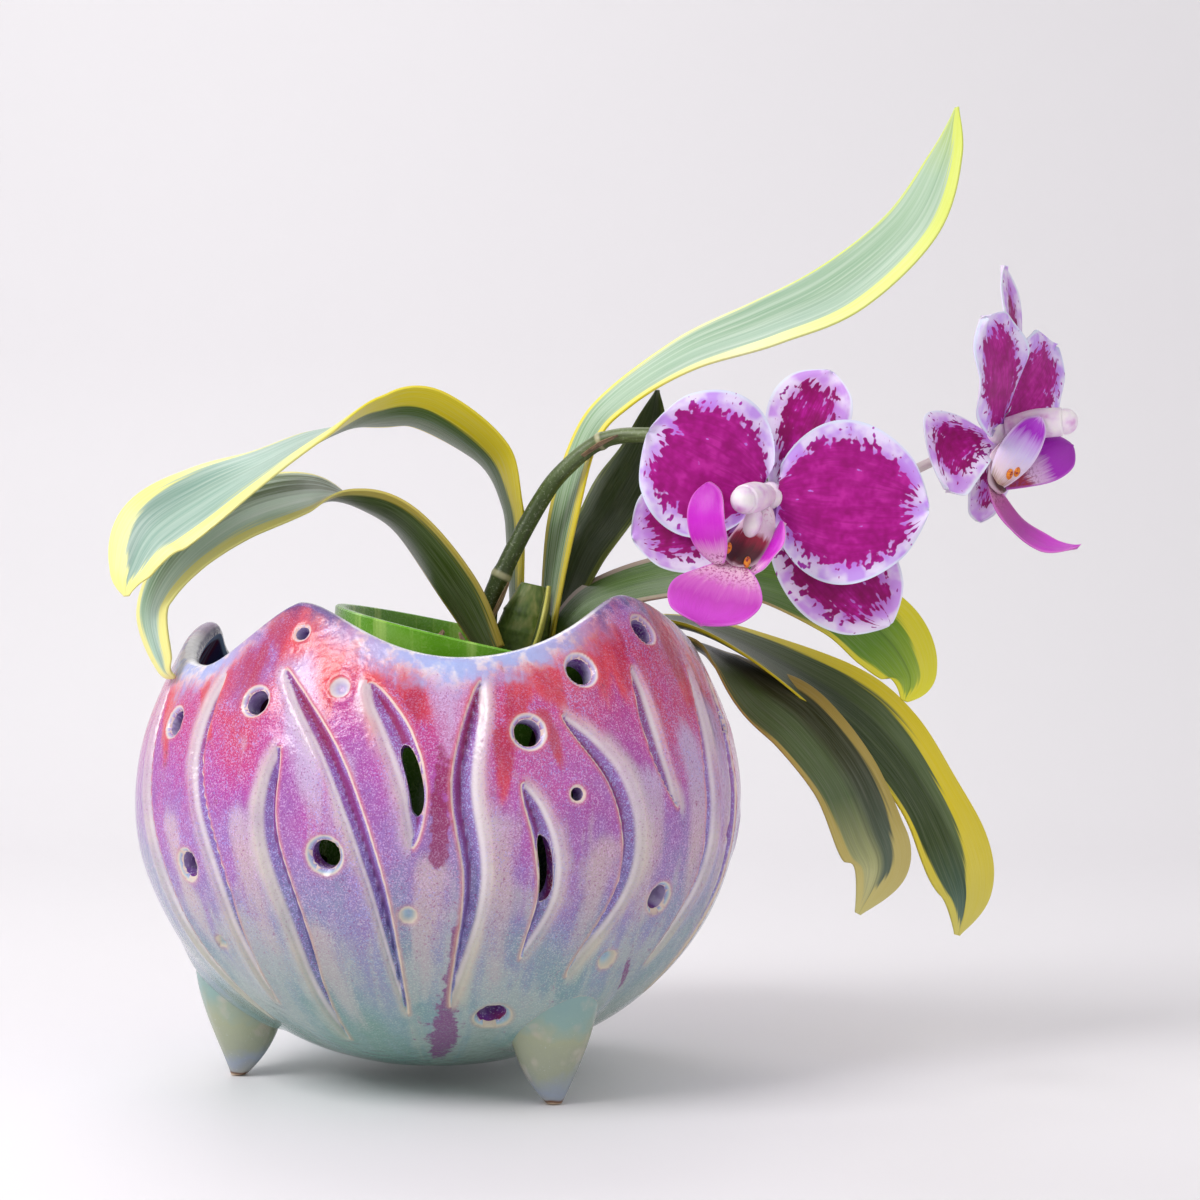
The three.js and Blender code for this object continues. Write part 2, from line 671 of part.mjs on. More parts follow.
// Tube along a row of points from the foot of the stem, thinner towards its end
function stalk(route, startRadius, endRadius, grow = 0) {
  const sides = 8;
  const rows = fromCrown(route);
  const steps = Math.max(4, rows.length + 1);
  const at = (t) => vector(...smoothRow(rows, Math.min(Math.max(t, 0), 1)));
  const rings = [];
  for (let step = 0; step <= steps; step += 1) {
    const t = step / steps;
    const tangent = at(t + 0.01).sub(at(t - 0.01)).normalize();
    const across = vector(0, 1, 0).cross(tangent).normalize();
    const other = tangent.clone().cross(across);
    const radius = startRadius + (endRadius - startRadius) * t + grow;
    rings.push(Array.from({ length: sides }, (_, i) => {
      const turn = (i / sides) * 2 * Math.PI;
      return at(t).addScaledVector(across, radius * Math.cos(turn)).addScaledVector(other, radius * Math.sin(turn));
    }));
  }
  return loft(rings);
}

const spikeRoute = [
  [-5.5, -1, 4], [-6, -2, 17], [-1, -2, 29.5], [6.5, -2, 43.5], [12.5, -4, 51.5], [22, -7, 58.8],
  [32.5, -12, 60], [44, -16, 58], [57.5, -18, 51], [73, -18, 40], [85.5, -16, 30], [92, -14, 24.5],
];
const spikeOverRim = { row: 8, azimuth: 76.8, above: 36.7, outward: 18 };
const spikeShift = rimShift(spikeRoute, spikeOverRim);
const spikeRows = hungOverRim(spikeRoute, spikeOverRim);

// Flowers: place of the hub from the foot of the stem, direction it faces, and its tepals.
// A tepal's reach runs from the hub to its tip. Widest and blunt shape its outline, faces turns it out of
// the flower's plane, sway bends it sideways, and hook turns its tip forward.
const petalShape = { widest: 0.9, blunt: 0.52, bow: 2.5, keel: -0.1 };
const sepalShape = { widest: 1.15, blunt: 0.62, bow: 1.5, keel: -0.12, back: sepalBack };
const throatShape = { widest: 1.3, blunt: 0.4, bow: -1 };
const lobeShape = { widest: 1.1, blunt: 0.5, bow: 1 };

const flowers = [
  {
    name: 'first',
    hub: [61.8, -30, 44.4],
    facing: [-0.2, -0.97, -0.05],
    stalkRoute: [[57.5, -18, 51], [58.6, -20.5, 50.5]],
    lip: [
      { ...throatShape, start: [-0.5, -3, -3], reach: [-8, -6, -14], width: 5.2, faces: [-0.3, -0.9, 0.3] },
      {
        ...lobeShape,
        start: [-8.3, -8.2, -16.3],
        reach: [-8.5, -11, -14],
        width: 11.5,
        widest: 1.35,
        faces: [-0.15, -0.7, 0.7],
      },
      {
        ...lobeShape,
        start: [-12.2, -8.4, -16.3],
        reach: [-2.5, -2, 19],
        width: 5,
        bow: 3.8,
        faces: [-0.5, -0.85, 0],
      },
      {
        ...lobeShape,
        start: [-4.8, -9, -18.8],
        reach: [7.8, 0.5, 12.2],
        width: 4.2,
        bow: -1.5,
        faces: [-0.97, -0.25, 0.1],
      },
    ],
    column: [[-0.5, -1.5, 0], [-3.5, -6, -0.6], [-6.3, -10.5, -1.4]],
    tepals: {
      petal_left: { ...petalShape, reach: [-28.6, 1.5, 15.2], width: 18.2 },
      petal_right: { ...petalShape, widest: 0.84, blunt: 0.6, reach: [37.7, -3, -3.5], width: 19.5 },
      dorsal_sepal: { ...sepalShape, widest: 1.5, reach: [15, 3, 30.3], width: 10 },
      lateral_sepal_left: { ...sepalShape, reach: [-32.5, 5, -10], width: 12.5 },
      lateral_sepal_right: { ...sepalShape, reach: [29, 1, -31], width: 13.5 },
    },
  },
  {
    name: 'second',
    hub: [120, -12, 61],
    facing: [0.93, -0.34, 0.1],
    stalkRoute: [[73, -18, 40], [84, -17.5, 43], [95, -15.5, 49.5], [108, -13.5, 56]],
    lip: [
      { ...throatShape, start: [0.5, -1, -3], reach: [-1.5, -2, -12.5], width: 4, faces: [0.7, -0.7, 0.1] },
      {
        ...lobeShape,
        start: [-3.3, -3, -13.2],
        reach: [19.4, -4, -17.3],
        width: 4.8,
        bow: -3.4,
        hook: 3,
        faces: [0.45, -0.55, 0.7],
      },
      { ...lobeShape, start: [-2.1, -3, -13.8], reach: [10.6, -4, 16.8], width: 4.6, faces: [0.1, -1, 0.1] },
      {
        ...lobeShape,
        start: [-0.8, -2, -14],
        reach: [18.8, 4, 10.5],
        width: 5.5,
        widest: 1.7,
        faces: [0.2, -0.95, 0.2],
      },
    ],
    column: [[1, -0.4, 0.5], [8, -2, 1.6], [14.5, -3.6, 2]],
    tepals: {
      petal_left: { ...petalShape, reach: [-7, -20, 25.5], width: 13.5, faces: [0.7, -0.7, 0.1] },
      petal_right: { ...petalShape, reach: [16.5, 18, 23], width: 12.5, faces: [0.8, -0.6, 0.1] },
      dorsal_sepal: { ...sepalShape, bow: 3.5, reach: [3, 3, 41], width: 7.5, faces: [0.88, -0.45, 0.1] },
      lateral_sepal_left: {
        ...sepalShape,
        reach: [-14, -12, -14.5],
        width: 10,
        sway: -6.5,
        faces: [0.3, -0.9, 0.2],
      },
      lateral_sepal_right: { ...sepalShape, reach: [-3.5, 6, -22.5], width: 6.5, faces: [0.5, -0.85, 0] },
    },
  },
];

// Tepal: a broad cupped blade from the hub to its tip, facing the way the flower faces
function tepalGeometry(hub, facing, shape, grow = 0) {
  const { reach, width, widest, blunt, bow, start, faces = facing } = shape;
  const { keel = 0, back = 0, sway = 0, hook = 0 } = shape;
  const line = vector(...reach);
  const along = line.clone().normalize();
  const across = vector(...faces).cross(along).normalize();
  const face = along.clone().cross(across);
  const foot = start
    ? vector(...start)
    : along.clone().multiplyScalar(hubClearance).addScaledVector(face, -back);
  const steps = 8;
  const rings = [];
  for (let step = 0; step <= steps; step += 1) {
    const t = step / steps;
    const swell = Math.sin(Math.PI * (0.04 + 0.92 * t) ** widest) ** blunt;
    const half = width * swell + grow;
    const thick = petalThickness / 2 + grow;
    const fold = keel * width * swell;
    const end = (step === 0 ? -grow : 0) + (step === steps ? grow : 0);
    const turned = hook * Math.max(0, (t - 1 + hookShare) / hookShare) ** 2;
    const middle = hub.clone().add(foot)
      .addScaledVector(line, t * (start ? 1 : 1 - hubClearance / line.length()))
      .addScaledVector(along, end)
      .addScaledVector(across, sway * Math.sin(Math.PI * t))
      .addScaledVector(face, bow * Math.sin(Math.PI * t) + turned);
    const section = [
      [-half, thick * 0.7], [0, thick + fold], [half, thick * 0.7],
      [half, -thick * 0.7], [0, -thick + fold], [-half, -thick * 0.7],
    ];
    rings.push(section.map(([side, height]) => middle.clone()
      .addScaledVector(across, side)
      .addScaledVector(face, height)));
  }
  return loft(rings);
}

// Every piece of the plant gives room to the pieces before it
const plant = [];

function addToPlant(name, build, color, roughness) {
  let body = build(0);
  const box = body.boundingBox();
  for (const other of plant) {
    const apart = [0, 1, 2].some((k) => other.box.min[k] > box.max[k] + 1 || other.box.max[k] < box.min[k] - 1);
    if (!apart) body = body.subtract(other.grown);
  }
  body = mainBody(body);
  plant.push({ grown: build(gap), box, mesh: mesh(name, geometryOf(body), color, roughness) });
}

addToPlant('crown_stem', (grow) => solid(crownStem(grow)), '#5d7a2c', 0.6);
addToPlant('flower_spike', (grow) => solid(stalk(spikeRows, spikeRadius, spikeEndRadius, grow)), '#3f4a2c', 0.5);
for (const { name, toLeft, overRim, stations } of leaves) {
  const options = { toLeft, thickness: leafThickness, keel: leafKeel };
  const rows = fromCrown(hungOverRim(stations, overRim));
  addToPlant(
    name,
    (grow) => solid(bladeGeometry(rows, { ...options, grow })),
    '#4f7a35',
    0.4,
  );
}
for (const { name, thickness, color, spikeRow = 0, stations } of sheaths) {
  const options = { toLeft: false, thickness, keel: leafKeel, count: 4 };
  const withSpike = spikeShift.clone().multiplyScalar(spikeRow / spikeOverRim.row);
  const rows = fromCrown(stations.map((row) => shifted(row, withSpike)));
  addToPlant(name, (grow) => solid(bladeGeometry(rows, { ...options, grow })), color, 0.8);
}
for (const flower of flowers) {
  const { name, facing, lip, column, tepals } = flower;
  const hub = shifted(flower.hub, spikeShift);
  const place = vector(...hub).add(crown);
  const toHub = [6, 3, 0].map((back) => hub.map((value, k) => value - facing[k] * back));
  const route = [...flower.stalkRoute.map((row) => shifted(row, spikeShift)), ...toHub];
  addToPlant(
    `${name}_pedicel`,
    (grow) => solid(stalk(route, pedicelRadius, pedicelRadius, grow)),
    '#d9cbd0',
    0.5,
  );
  const columnRoute = column.map((point) => point.map((value, k) => value + hub[k]));
  addToPlant(
    `${name}_column`,
    (grow) => solid(stalk(columnRoute, columnRadius, columnEndRadius, grow)),
    '#e9c6e4',
    0.4,
  );
  const [neck, end] = columnRoute.slice(-2).map((point) => vector(...point).add(crown));
  const cap = end.clone().addScaledVector(end.clone().sub(neck).normalize(), antherLength / 2 + gap);
  addToPlant(
    `${name}_anther_cap`,
    (grow) => solid(new THREE.SphereGeometry(1, 10, 6)
      .scale(antherLength / 2 + grow, antherLength / 2 + grow, antherHeight / 2 + grow)
      .translate(...cap.toArray())),
    '#f3e9ef',
    0.4,
  );
  addToPlant(
    `${name}_lip`,
    (grow) => lip.map((lobe) => solid(tepalGeometry(place, facing, lobe, grow))).reduce((a, b) => a.add(b)),
    '#c22bb0',
    0.45,
  );
  for (const [tepal, shape] of Object.entries(tepals)) {
    addToPlant(
      `${name}_${tepal}`,
      (grow) => solid(tepalGeometry(place, facing, shape, grow)),
      '#a81c8c',
      0.5,
    );
  }
}

const nurseryGroup = new THREE.Group();
nurseryGroup.rotation.copy(nurseryTurn);
nurseryGroup.position.copy(nurseryCentre);
nurseryGroup.add(mesh('nursery_pot', geometryOf(nurseryPot()), '#4f8f1c', 0.35));
nurseryGroup.add(mesh('bark_medium', barkMedium(), '#4b3526', 0.95));
const chips = [[-23.5, -9, 20, 11], [-20, 9, -40, 10], [-3, 21, 5, 12], [24, -14, 60, 10], [25, 12, -20, 11]];
chips.forEach(([x, y, turn, length], i) => {
  nurseryGroup.add(mesh(`bark_chip_${i + 1}`, barkChip(x, y, turn, length), '#6a4a33', 0.95));
});

const orchidPot = new THREE.Group();
orchidPot.add(mesh('ceramic_pot', geometryOf(ceramicPot()), '#b48ac0', 0.22));
orchidPot.add(nurseryGroup);
orchidPot.add(...plant.map((piece) => piece.mesh));

export default orchidPot;
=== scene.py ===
import math

import bpy
import bmesh
import numpy as np
from mathutils import Euler, Matrix, Vector, noise


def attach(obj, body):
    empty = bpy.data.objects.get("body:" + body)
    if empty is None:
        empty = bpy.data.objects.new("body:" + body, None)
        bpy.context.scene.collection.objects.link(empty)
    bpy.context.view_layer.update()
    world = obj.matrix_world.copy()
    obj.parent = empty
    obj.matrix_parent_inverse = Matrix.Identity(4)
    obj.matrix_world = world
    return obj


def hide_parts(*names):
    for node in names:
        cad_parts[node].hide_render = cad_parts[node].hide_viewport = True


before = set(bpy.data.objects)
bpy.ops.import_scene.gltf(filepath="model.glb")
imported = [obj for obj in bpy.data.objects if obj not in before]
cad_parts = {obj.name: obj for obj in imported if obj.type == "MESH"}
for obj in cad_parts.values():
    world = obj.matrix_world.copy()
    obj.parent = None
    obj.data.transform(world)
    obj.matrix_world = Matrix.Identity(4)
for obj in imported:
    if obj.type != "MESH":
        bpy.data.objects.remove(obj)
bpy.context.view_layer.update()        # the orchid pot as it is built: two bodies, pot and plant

scene = bpy.context.scene
mm = 0.001  # shapes are worked out in millimetres and scaled when their mesh is made


# Camera: level with the rim, a little to the right of the pot's middle

view = {"place": (0.040, -0.600, 0.1123), "lens": 72, "sensor": 36}


def makeCamera():
    lens = bpy.data.cameras.new("camera")
    lens.lens = view["lens"]
    lens.sensor_width = view["sensor"]
    camera = bpy.data.objects.new("camera", lens)
    camera.location = view["place"]
    camera.rotation_euler = (math.pi / 2, 0, 0)
    scene.collection.objects.link(camera)
    scene.camera = camera


makeCamera()
print("camera placed")


# Helpers for node trees

def tint(code):
    channels = [int(code[i:i + 2], 16) / 255 for i in (1, 3, 5)]
    return [c / 12.92 if c <= 0.04045 else ((c + 0.055) / 1.055) ** 2.4 for c in channels] + [1]


def feed(tree, node, inputs):
    # fields and sockets are linked to the node, colour codes become colours, and the rest are set as values
    for key, value in inputs.items():
        value = value.socket if isinstance(value, Field) else tint(value) if isinstance(value, str) else value
        if isinstance(value, bpy.types.NodeSocket):
            tree.links.new(value, node.inputs[key])
        else:
            node.inputs[key].default_value = value


def put(tree, kind, inputs, **settings):
    node = tree.nodes.new(kind)
    for key, value in settings.items():
        setattr(node, key, value)
    feed(tree, node, inputs)
    return node


class Field:
    # a value that changes over the surface: sums written with it become maths nodes
    def __init__(self, tree, socket):
        self.tree, self.socket = tree, socket

    def __add__(self, other):
        return maths("ADD", self, other)

    def __sub__(self, other):
        return maths("SUBTRACT", self, other)

    def __rsub__(self, other):
        return maths("SUBTRACT", other, self)

    def __mul__(self, other):
        return maths("MULTIPLY", self, other)

    def __truediv__(self, other):
        return maths("DIVIDE", self, other)

    def __rtruediv__(self, other):
        return maths("DIVIDE", other, self)

    def __abs__(self):
        return maths("ABSOLUTE", self)


def maths(operation, a, b=0.0):
    tree = a.tree if isinstance(a, Field) else b.tree
    return Field(tree, put(tree, "ShaderNodeMath", {0: a, 1: b}, operation=operation).outputs[0])


def spread(value, low, high, to=(0, 1)):
    # value from low to high, smoothly, becomes 0 to 1
    inputs = {"Value": value, "From Min": low, "From Max": high, "To Min": to[0], "To Max": to[1]}
    node = put(value.tree, "ShaderNodeMapRange", inputs, interpolation_type="SMOOTHSTEP")
    return Field(value.tree, node.outputs[0])


def blendColor(share, a, b):
    node = put(share.tree, "ShaderNodeMix", {0: share, 6: a, 7: b}, data_type="RGBA")
    return Field(share.tree, node.outputs[2])


def ramp(value, stops):
    node = put(value.tree, "ShaderNodeValToRGB", {"Fac": value})
    elements = node.color_ramp.elements
    while len(elements) < len(stops):
        elements.new(0.5)
    for element, (place, code) in zip(elements, stops):
        element.position = place
        element.color = tint(code)
    return Field(value.tree, node.outputs["Color"])


def noiseAt(place, scale, detail=2.0, rough=0.5, twist=0.0):
    inputs = {"Vector": place, "Scale": scale, "Detail": detail, "Roughness": rough, "Distortion": twist}
    return Field(place.tree, put(place.tree, "ShaderNodeTexNoise", inputs).outputs[0])


def vector(x, y, z):
    return Field(x.tree, put(x.tree, "ShaderNodeCombineXYZ", {0: x, 1: y, 2: z}).outputs[0])


def partsOf(place):
    return [Field(place.tree, part) for part in put(place.tree, "ShaderNodeSeparateXYZ", {0: place}).outputs]


def fromMesh(tree, *names):
    fields = [Field(tree, put(tree, "ShaderNodeAttribute", {}, attribute_name=name).outputs["Fac"])
              for name in names]
    return fields if len(fields) > 1 else fields[0]


def newMaterial(name, roughness, constants=()):
    # an empty finish, with its constants on the shader
    material = bpy.data.materials.new(name)
    material.use_nodes = True
    tree = material.node_tree
    feed(tree, tree.nodes["Principled BSDF"], {"Roughness": roughness} | dict(constants))
    return material, tree


def finishMaterial(material, color, height, distance, strength, roughness=None):
    tree = material.node_tree
    bump = put(tree, "ShaderNodeBump", {"Height": height, "Distance": distance, "Strength": strength})
    links = {"Base Color": color, "Normal": bump.outputs[0]} | ({"Roughness": roughness} if roughness else {})
    feed(tree, tree.nodes["Principled BSDF"], links)
    return material


def objectPlace(tree):
    return Field(tree, put(tree, "ShaderNodeTexCoord", {}).outputs["Object"])


def newGroup(name, inputs, outputs):
    # a shader group with inputs {name: value}: gives them as fields, and the node that takes its results
    group = bpy.data.node_groups.new(name, "ShaderNodeTree")
    for key, value in inputs.items():
        kind = "NodeSocketVector" if value is None else "NodeSocketFloat"
        socket = group.interface.new_socket(name=key, in_out="INPUT", socket_type=kind)
        if value is not None:
            socket.default_value = value
    for key in outputs:
        group.interface.new_socket(name=key, in_out="OUTPUT", socket_type="NodeSocketFloat")
    start = group.nodes.new("NodeGroupInput").outputs
    return group, {key: Field(group, start[key]) for key in inputs}, group.nodes.new("NodeGroupOutput")


def useGroup(tree, group, inputs):
    node = put(tree, "ShaderNodeGroup", inputs, node_tree=group)
    return {output.name: Field(tree, output) for output in node.outputs}


# Helpers for meshes

def makeObject(name, points, faces, materials):
    mesh = bpy.data.meshes.new(name)
    mesh.from_pydata((np.asarray(points, float) * mm).tolist(), [], [list(map(int, f)) for f in faces])
    for material in materials:
        mesh.materials.append(material)
    piece = bpy.data.objects.new(name, mesh)
    scene.collection.objects.link(piece)
    return piece


def outward(piece):
    # turns every face outwards and shades the piece smooth
    shape = bmesh.new()
    shape.from_mesh(piece.data)
    bmesh.ops.recalc_face_normals(shape, faces=shape.faces)
    shape.to_mesh(piece.data)
    shape.free()
    piece.data.shade_smooth()


def attribute(piece, name, values):
    layer = piece.data.attributes.new(name, "FLOAT", "POINT")
    layer.data.foreach_set("value", np.asarray(values, np.float32))


def quads(rings, size, wrap=True):
    # faces between rings of the same number of points
    ring, i = np.meshgrid(np.arange(rings - 1), np.arange(size if wrap else size - 1), indexing="ij")
    a = ring * size + i
    b = ring * size + (i + 1) % size
    return np.stack([a, b, b + size, a + size], -1).reshape(-1, 4).tolist()


def closedLoft(rings):
    # points and faces of a closed skin over rings, with a fan over each end
    rings = np.asarray(rings, float)
    count, size = rings.shape[:2]
    points = np.concatenate([rings.reshape(-1, 3), rings[0].mean(0)[None], rings[-1].mean(0)[None]])
    faces = quads(count, size)
    last = (count - 1) * size
    for i in range(size):
        nextOne = (i + 1) % size
        faces.append([count * size, nextOne, i])
        faces.append([count * size + 1, last + i, last + nextOne])
    return points, faces


def skin(name, rings, material):
    piece = makeObject(name, *closedLoft(rings), [material])
    outward(piece)
    return piece


def turns(count):
    return np.arange(count) / count * 2 * np.pi


def circle(radius, z, count):
    turn = turns(count)
    return np.stack([radius * np.cos(turn), radius * np.sin(turn), 0 * turn + z], -1)


def applied(piece):
    # the piece with its modifiers made real
    graph = bpy.context.evaluated_depsgraph_get()
    graph.update()
    mesh = bpy.data.meshes.new_from_object(piece.evaluated_get(graph))
    piece.modifiers.clear()
    old = piece.data
    piece.data = mesh
    bpy.data.meshes.remove(old)
    piece.data.name = piece.name


def cut(piece, tool, operation="DIFFERENCE"):
    # cuts or joins another solid, then deletes it; its faces keep their own finish
    step = piece.modifiers.new("cut", "BOOLEAN")
    step.operation = operation
    step.solver = "MANIFOLD"
    step.object = tool
    step.material_mode = "TRANSFER"
    applied(piece)
    bpy.data.objects.remove(tool)


def sharpen(piece, degrees):
    piece.data.shade_smooth()
    piece.data.set_sharp_from_angle(angle=math.radians(degrees))


def smoothRow(rows, share):
    # smooth values through evenly spaced rows, at shares 0 to 1 of their length
    rows = np.asarray(rows, float)
    place = np.clip(np.asarray(share, float), 0, 1) * (len(rows) - 1)
    i = np.minimum(place.astype(int), len(rows) - 2)
    u = (place - i)[..., None]
    a, b, c, d = (rows[np.clip(i + k, 0, len(rows) - 1)] for k in (-1, 0, 1, 2))
    return b + 0.5 * u * (c - a + u * (2 * a - 5 * b + 4 * c - d + u * (3 * (b - c) + d - a)))


def unit(vectors):
    return vectors / np.maximum(np.linalg.norm(vectors, axis=-1, keepdims=True), 1e-9)


def easeUp(value, low, high):
    share = np.clip((value - low) / (high - low), 0, 1)
    return share * share * (3 - 2 * share)


def dress(piece, body, slot, *nodes):
    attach(piece, body)
    if nodes:
        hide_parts(*nodes)


# Glaze: fine crystals, and streaks that run down the wall

def crystalGroup():
    group, start, end = newGroup("crystals", {"Place": None, "Size": 0.0006, "Share": 0.4},
                                 ("Pale", "Deep", "Height"))
    place = start["Place"]
    scale = 1.0 / start["Size"]
    fine = noiseAt(place, scale, 3.0, 0.7)
    mixed = fine + (noiseAt(place, scale * 0.16, 2.0, 0.6) - 0.5) * 0.18
    level = 0.95 - start["Share"] * 0.9
    pale = spread(mixed, level, level + 0.12)
    deep = spread(noiseAt(place, scale * 0.8, 2.0, 0.6, 0.5), 0.56, 0.68)
    feed(group, end, {"Pale": pale, "Deep": deep, "Height": fine})
    return group


def streakGroup():
    # noise drawn out downwards on the bowl, without a seam at its back
    group, start, end = newGroup("streaks", {"Place": None, "Scale": 60.0, "Length": 6.0}, ("Value",))
    roundWay, least = 0.07, 0.004  # metres: the radius that the noise is wound on, and its least reach
    x, y, z = partsOf(start["Place"])
    reach = maths("MAXIMUM", maths("SQRT", x * x + y * y), least)
    place = vector(x / reach * roundWay, y / reach * roundWay, z / start["Length"])
    feed(group, end, {"Value": noiseAt(place, start["Scale"], 3.0, 0.6, 0.3)})
    return group


crystals = crystalGroup()
streaks = streakGroup()


def grains(place, size, share):
    return useGroup(place.tree, crystals, {"Place": place, "Size": size, "Share": share})


def streaked(place, scale, length):
    return useGroup(place.tree, streaks, {"Place": place, "Scale": scale, "Length": length})["Value"]


# Ramps run from the foot of the bowl (0) to its rim (1)
glaze = {
    "body": [(0.0, "#6c958c"), (0.12, "#74979a"), (0.24, "#8296a6"), (0.36, "#8884b0"), (0.48, "#9a66b0"),
             (0.62, "#b24aa2"), (0.75, "#c2428a"), (0.86, "#cc4068"), (1.0, "#a26cb8")],
    "thin": [(0.0, "#8aa496"), (0.2, "#a0aea8"), (0.45, "#b8b6b6"), (0.7, "#ccb2c2"), (1.0, "#dcb4cc")],
    "bevel": [(0.0, "#adb49c"), (0.3, "#c6c0b0"), (0.6, "#d9d0cc"), (0.85, "#e2d4de"), (1.0, "#e6c0c8")],
    "veil": [(0.0, "#9cb0a8"), (0.3, "#b4a8ac"), (0.5, "#c8acb0"), (0.64, "#c4b2d2"), (0.8, "#c8b2dc"),
             (1.0, "#c4b0e0")],
    "pool": [(0.0, "#94bcc0"), (0.4, "#94bad2"), (0.7, "#b4b2de"), (1.0, "#c4b4e0")],
    "ridge": [(0.0, "#c3b899"), (0.3, "#dccab4"), (0.6, "#f0dccd"), (1.0, "#f4d8cc")],
    "halo": [(0.0, "#a99a84"), (0.3, "#c99a86"), (0.6, "#dc7c80"), (1.0, "#e05a60")],
    "floor": [(0.0, "#7fa8a8"), (0.22, "#8496b2"), (0.42, "#8a78ba"), (0.66, "#9c68b8"), (0.84, "#b04c86"),
              (1.0, "#b03a58")],
    # pooled glaze and painted shade at the foot of a cut's steep side
    "poolAndSteepShade": [(0.0, "#4f7c80"), (0.3, "#5c5894"), (0.55, "#843078"), (0.85, "#a02044"), (1.0, "#9c2c34")],
    "plumRun": [(0.0, "#6c2a70"), (0.3, "#782c74"), (0.55, "#8c2456"), (1.0, "#9c2450")],
    "coral": "#de4448", "crimson": "#b42846", "lip": "#f4f2f8", "lipEdge": "#37325e", "sky": "#aac0f4",
    "navy": "#45427e", "pale": "#e6bcee", "lowPale": "#c2d0c6", "blue": "#a8a6f0", "lowBlue": "#7fa6b4",
    "dark": "#8f2c78", "white": "#f6eef2", "floorPale": "#c2bcf4", "floorDark": "#a03488",
}


def glazeMaterial():
    material, tree = newMaterial("running glaze", 0.12)
    place = objectPlace(tree)
    redDrip, veilDrip, plumDrip = fromMesh(tree, "redDrip", "veilDrip", "plumDrip")
    edgeGap, gentle, carve, below, sky = fromMesh(tree, "edgeGap", "gentle", "carve", "rimGap", "lipSky")
    rise = partsOf(place)[2] / (bowl["height"] * mm)
    wide = streaked(place, 60.0, 2.5)
    shake = streaked(place, 200.0, 5.0) - 0.5
    cloud = noiseAt(place, 38.0, 3.0, 0.55)
    grain, second = grains(place, 0.00038, 0.5), grains(place, 0.00046, 0.45)
    rough = grain["Height"] - 0.5
    color = ramp(rise + (wide - 0.5) * 0.5 + (cloud - 0.5) * 0.5, glaze["body"])
    # coral under the rim, in patches and in drips whose edges break up into grains
    field = spread(rise, 0.68, 0.9, (0, 0.5)) + (cloud - 0.5) * 1.6
    red = maths("MAXIMUM", redDrip, field) + shake + rough * 0.7
    redShare = spread(red, 0.26, 0.85) * 0.92
    color = blendColor(redShare, color, blendColor(spread(wide, 0.42, 0.62), glaze["coral"], glaze["crimson"]))
    # thin glaze in pale drifts, then pale veils and plum runs
    drift = cloud + shake * 0.6 - rise * 0.36
    thinShare = spread(drift, 0.36, 0.56) * spread(redShare, 0.1, 0.8, (0.75, 0))
    color = blendColor(thinShare, color, ramp(rise, glaze["thin"]))
    veil = veilDrip + shake * 1.4 + rough * 0.7
    color = blendColor(spread(veil, 0.15, 1.0, (0, 0.85)), color, ramp(rise, glaze["veil"]))
    speckle = noiseAt(place, 420.0, 3.0, 0.65) - 0.5
    plumShare = spread(plumDrip + shake * 1.2 + rough + speckle * 2.2, 0.35, 0.75) * 0.9
    color = blendColor(plumShare, color, ramp(rise, glaze["plumRun"]))
    # the pale land beside the gentle side of a cut
    wobble = noiseAt(place, 260.0, 2.0, 0.5) - 0.5
    gap = edgeGap + wobble * 0.35
    onGentle = spread(gentle, 0.6, 0.9)
    bevel = ramp(rise, glaze["bevel"])
    softGap = gap + (wide - 0.5) * 9.0 + rough * 1.5
    paleLand = spread(softGap, -1.2, 3.0, (0.92, 0)) * onGentle * spread(cloud, 0.35, 0.6, (0.6, 1))
    color = blendColor(paleLand, color, bevel)
    # fine crystals: pale, blue and dark grains
    zone = spread(rise, 0.02, 0.3, (0.4, 1)) * spread(redShare, 0.4, 0.9, (1, 0.35))
    zone = zone * spread(paleLand, 0.3, 0.9, (1, 0.45)) * spread(plumShare, 0.2, 0.9, (1, 0.45))
    paleColor = blendColor(spread(rise, 0.24, 0.52), glaze["lowPale"], glaze["pale"])
    color = blendColor(grain["Pale"] * 0.52 * zone, color, paleColor)
    blueColor = blendColor(spread(rise, 0.2, 0.45), glaze["lowBlue"], glaze["blue"])
    color = blendColor(second["Pale"] * spread(wide, 0.38, 0.58) * zone * 0.75, color, blueColor)
    color = blendColor(grain["Deep"] * spread(rise, 0.15, 0.45, (0.2, 0.6)) * zone, color, glaze["dark"])
    # a cut: violet floor beyond a white crease, and at the foot of the steep side pooled glaze with painted
    # shade
    inCut = spread(gap, -0.12, 0.12, (1, 0))
    bored = spread(gentle, 0.2, 0.4) * spread(gentle, 0.6, 0.8, (1, 0))
    color = blendColor(inCut * bored, color, bevel)
    pooled = spread(carve, 0.04, 0.2, (0, 0.85)) * bored * inCut
    color = blendColor(pooled, color, ramp(rise, glaze["pool"]))
    floor = blendColor(grain["Pale"] * 0.85, ramp(rise + shake * 0.5, glaze["floor"]), glaze["floorPale"])
    floor = blendColor(grain["Deep"] * 0.7, floor, glaze["floorDark"])
    floorShare = spread(carve - spread(gentle, 0.2, 0.9, (-0.02, 0.46)), -0.04, 0.2) * inCut
    color = blendColor(floorShare, color, floor)
    # darkest at the foot of the steep side: pooled glaze and painted shade
    deep = carve - spread(gentle, 0.2, 0.8, (0.35, 0.86)) + shake * 0.5
    color = blendColor(spread(deep, -0.1, 0.34) * inCut * 0.85, color, ramp(rise, glaze["poolAndSteepShade"]))
    crease = spread(abs(carve - 0.42), 0.02, 0.2, (1, 0)) * inCut * onGentle
    color = blendColor(crease * spread(wide, 0.3, 0.6, (0.15, 0.6)), color, glaze["white"])
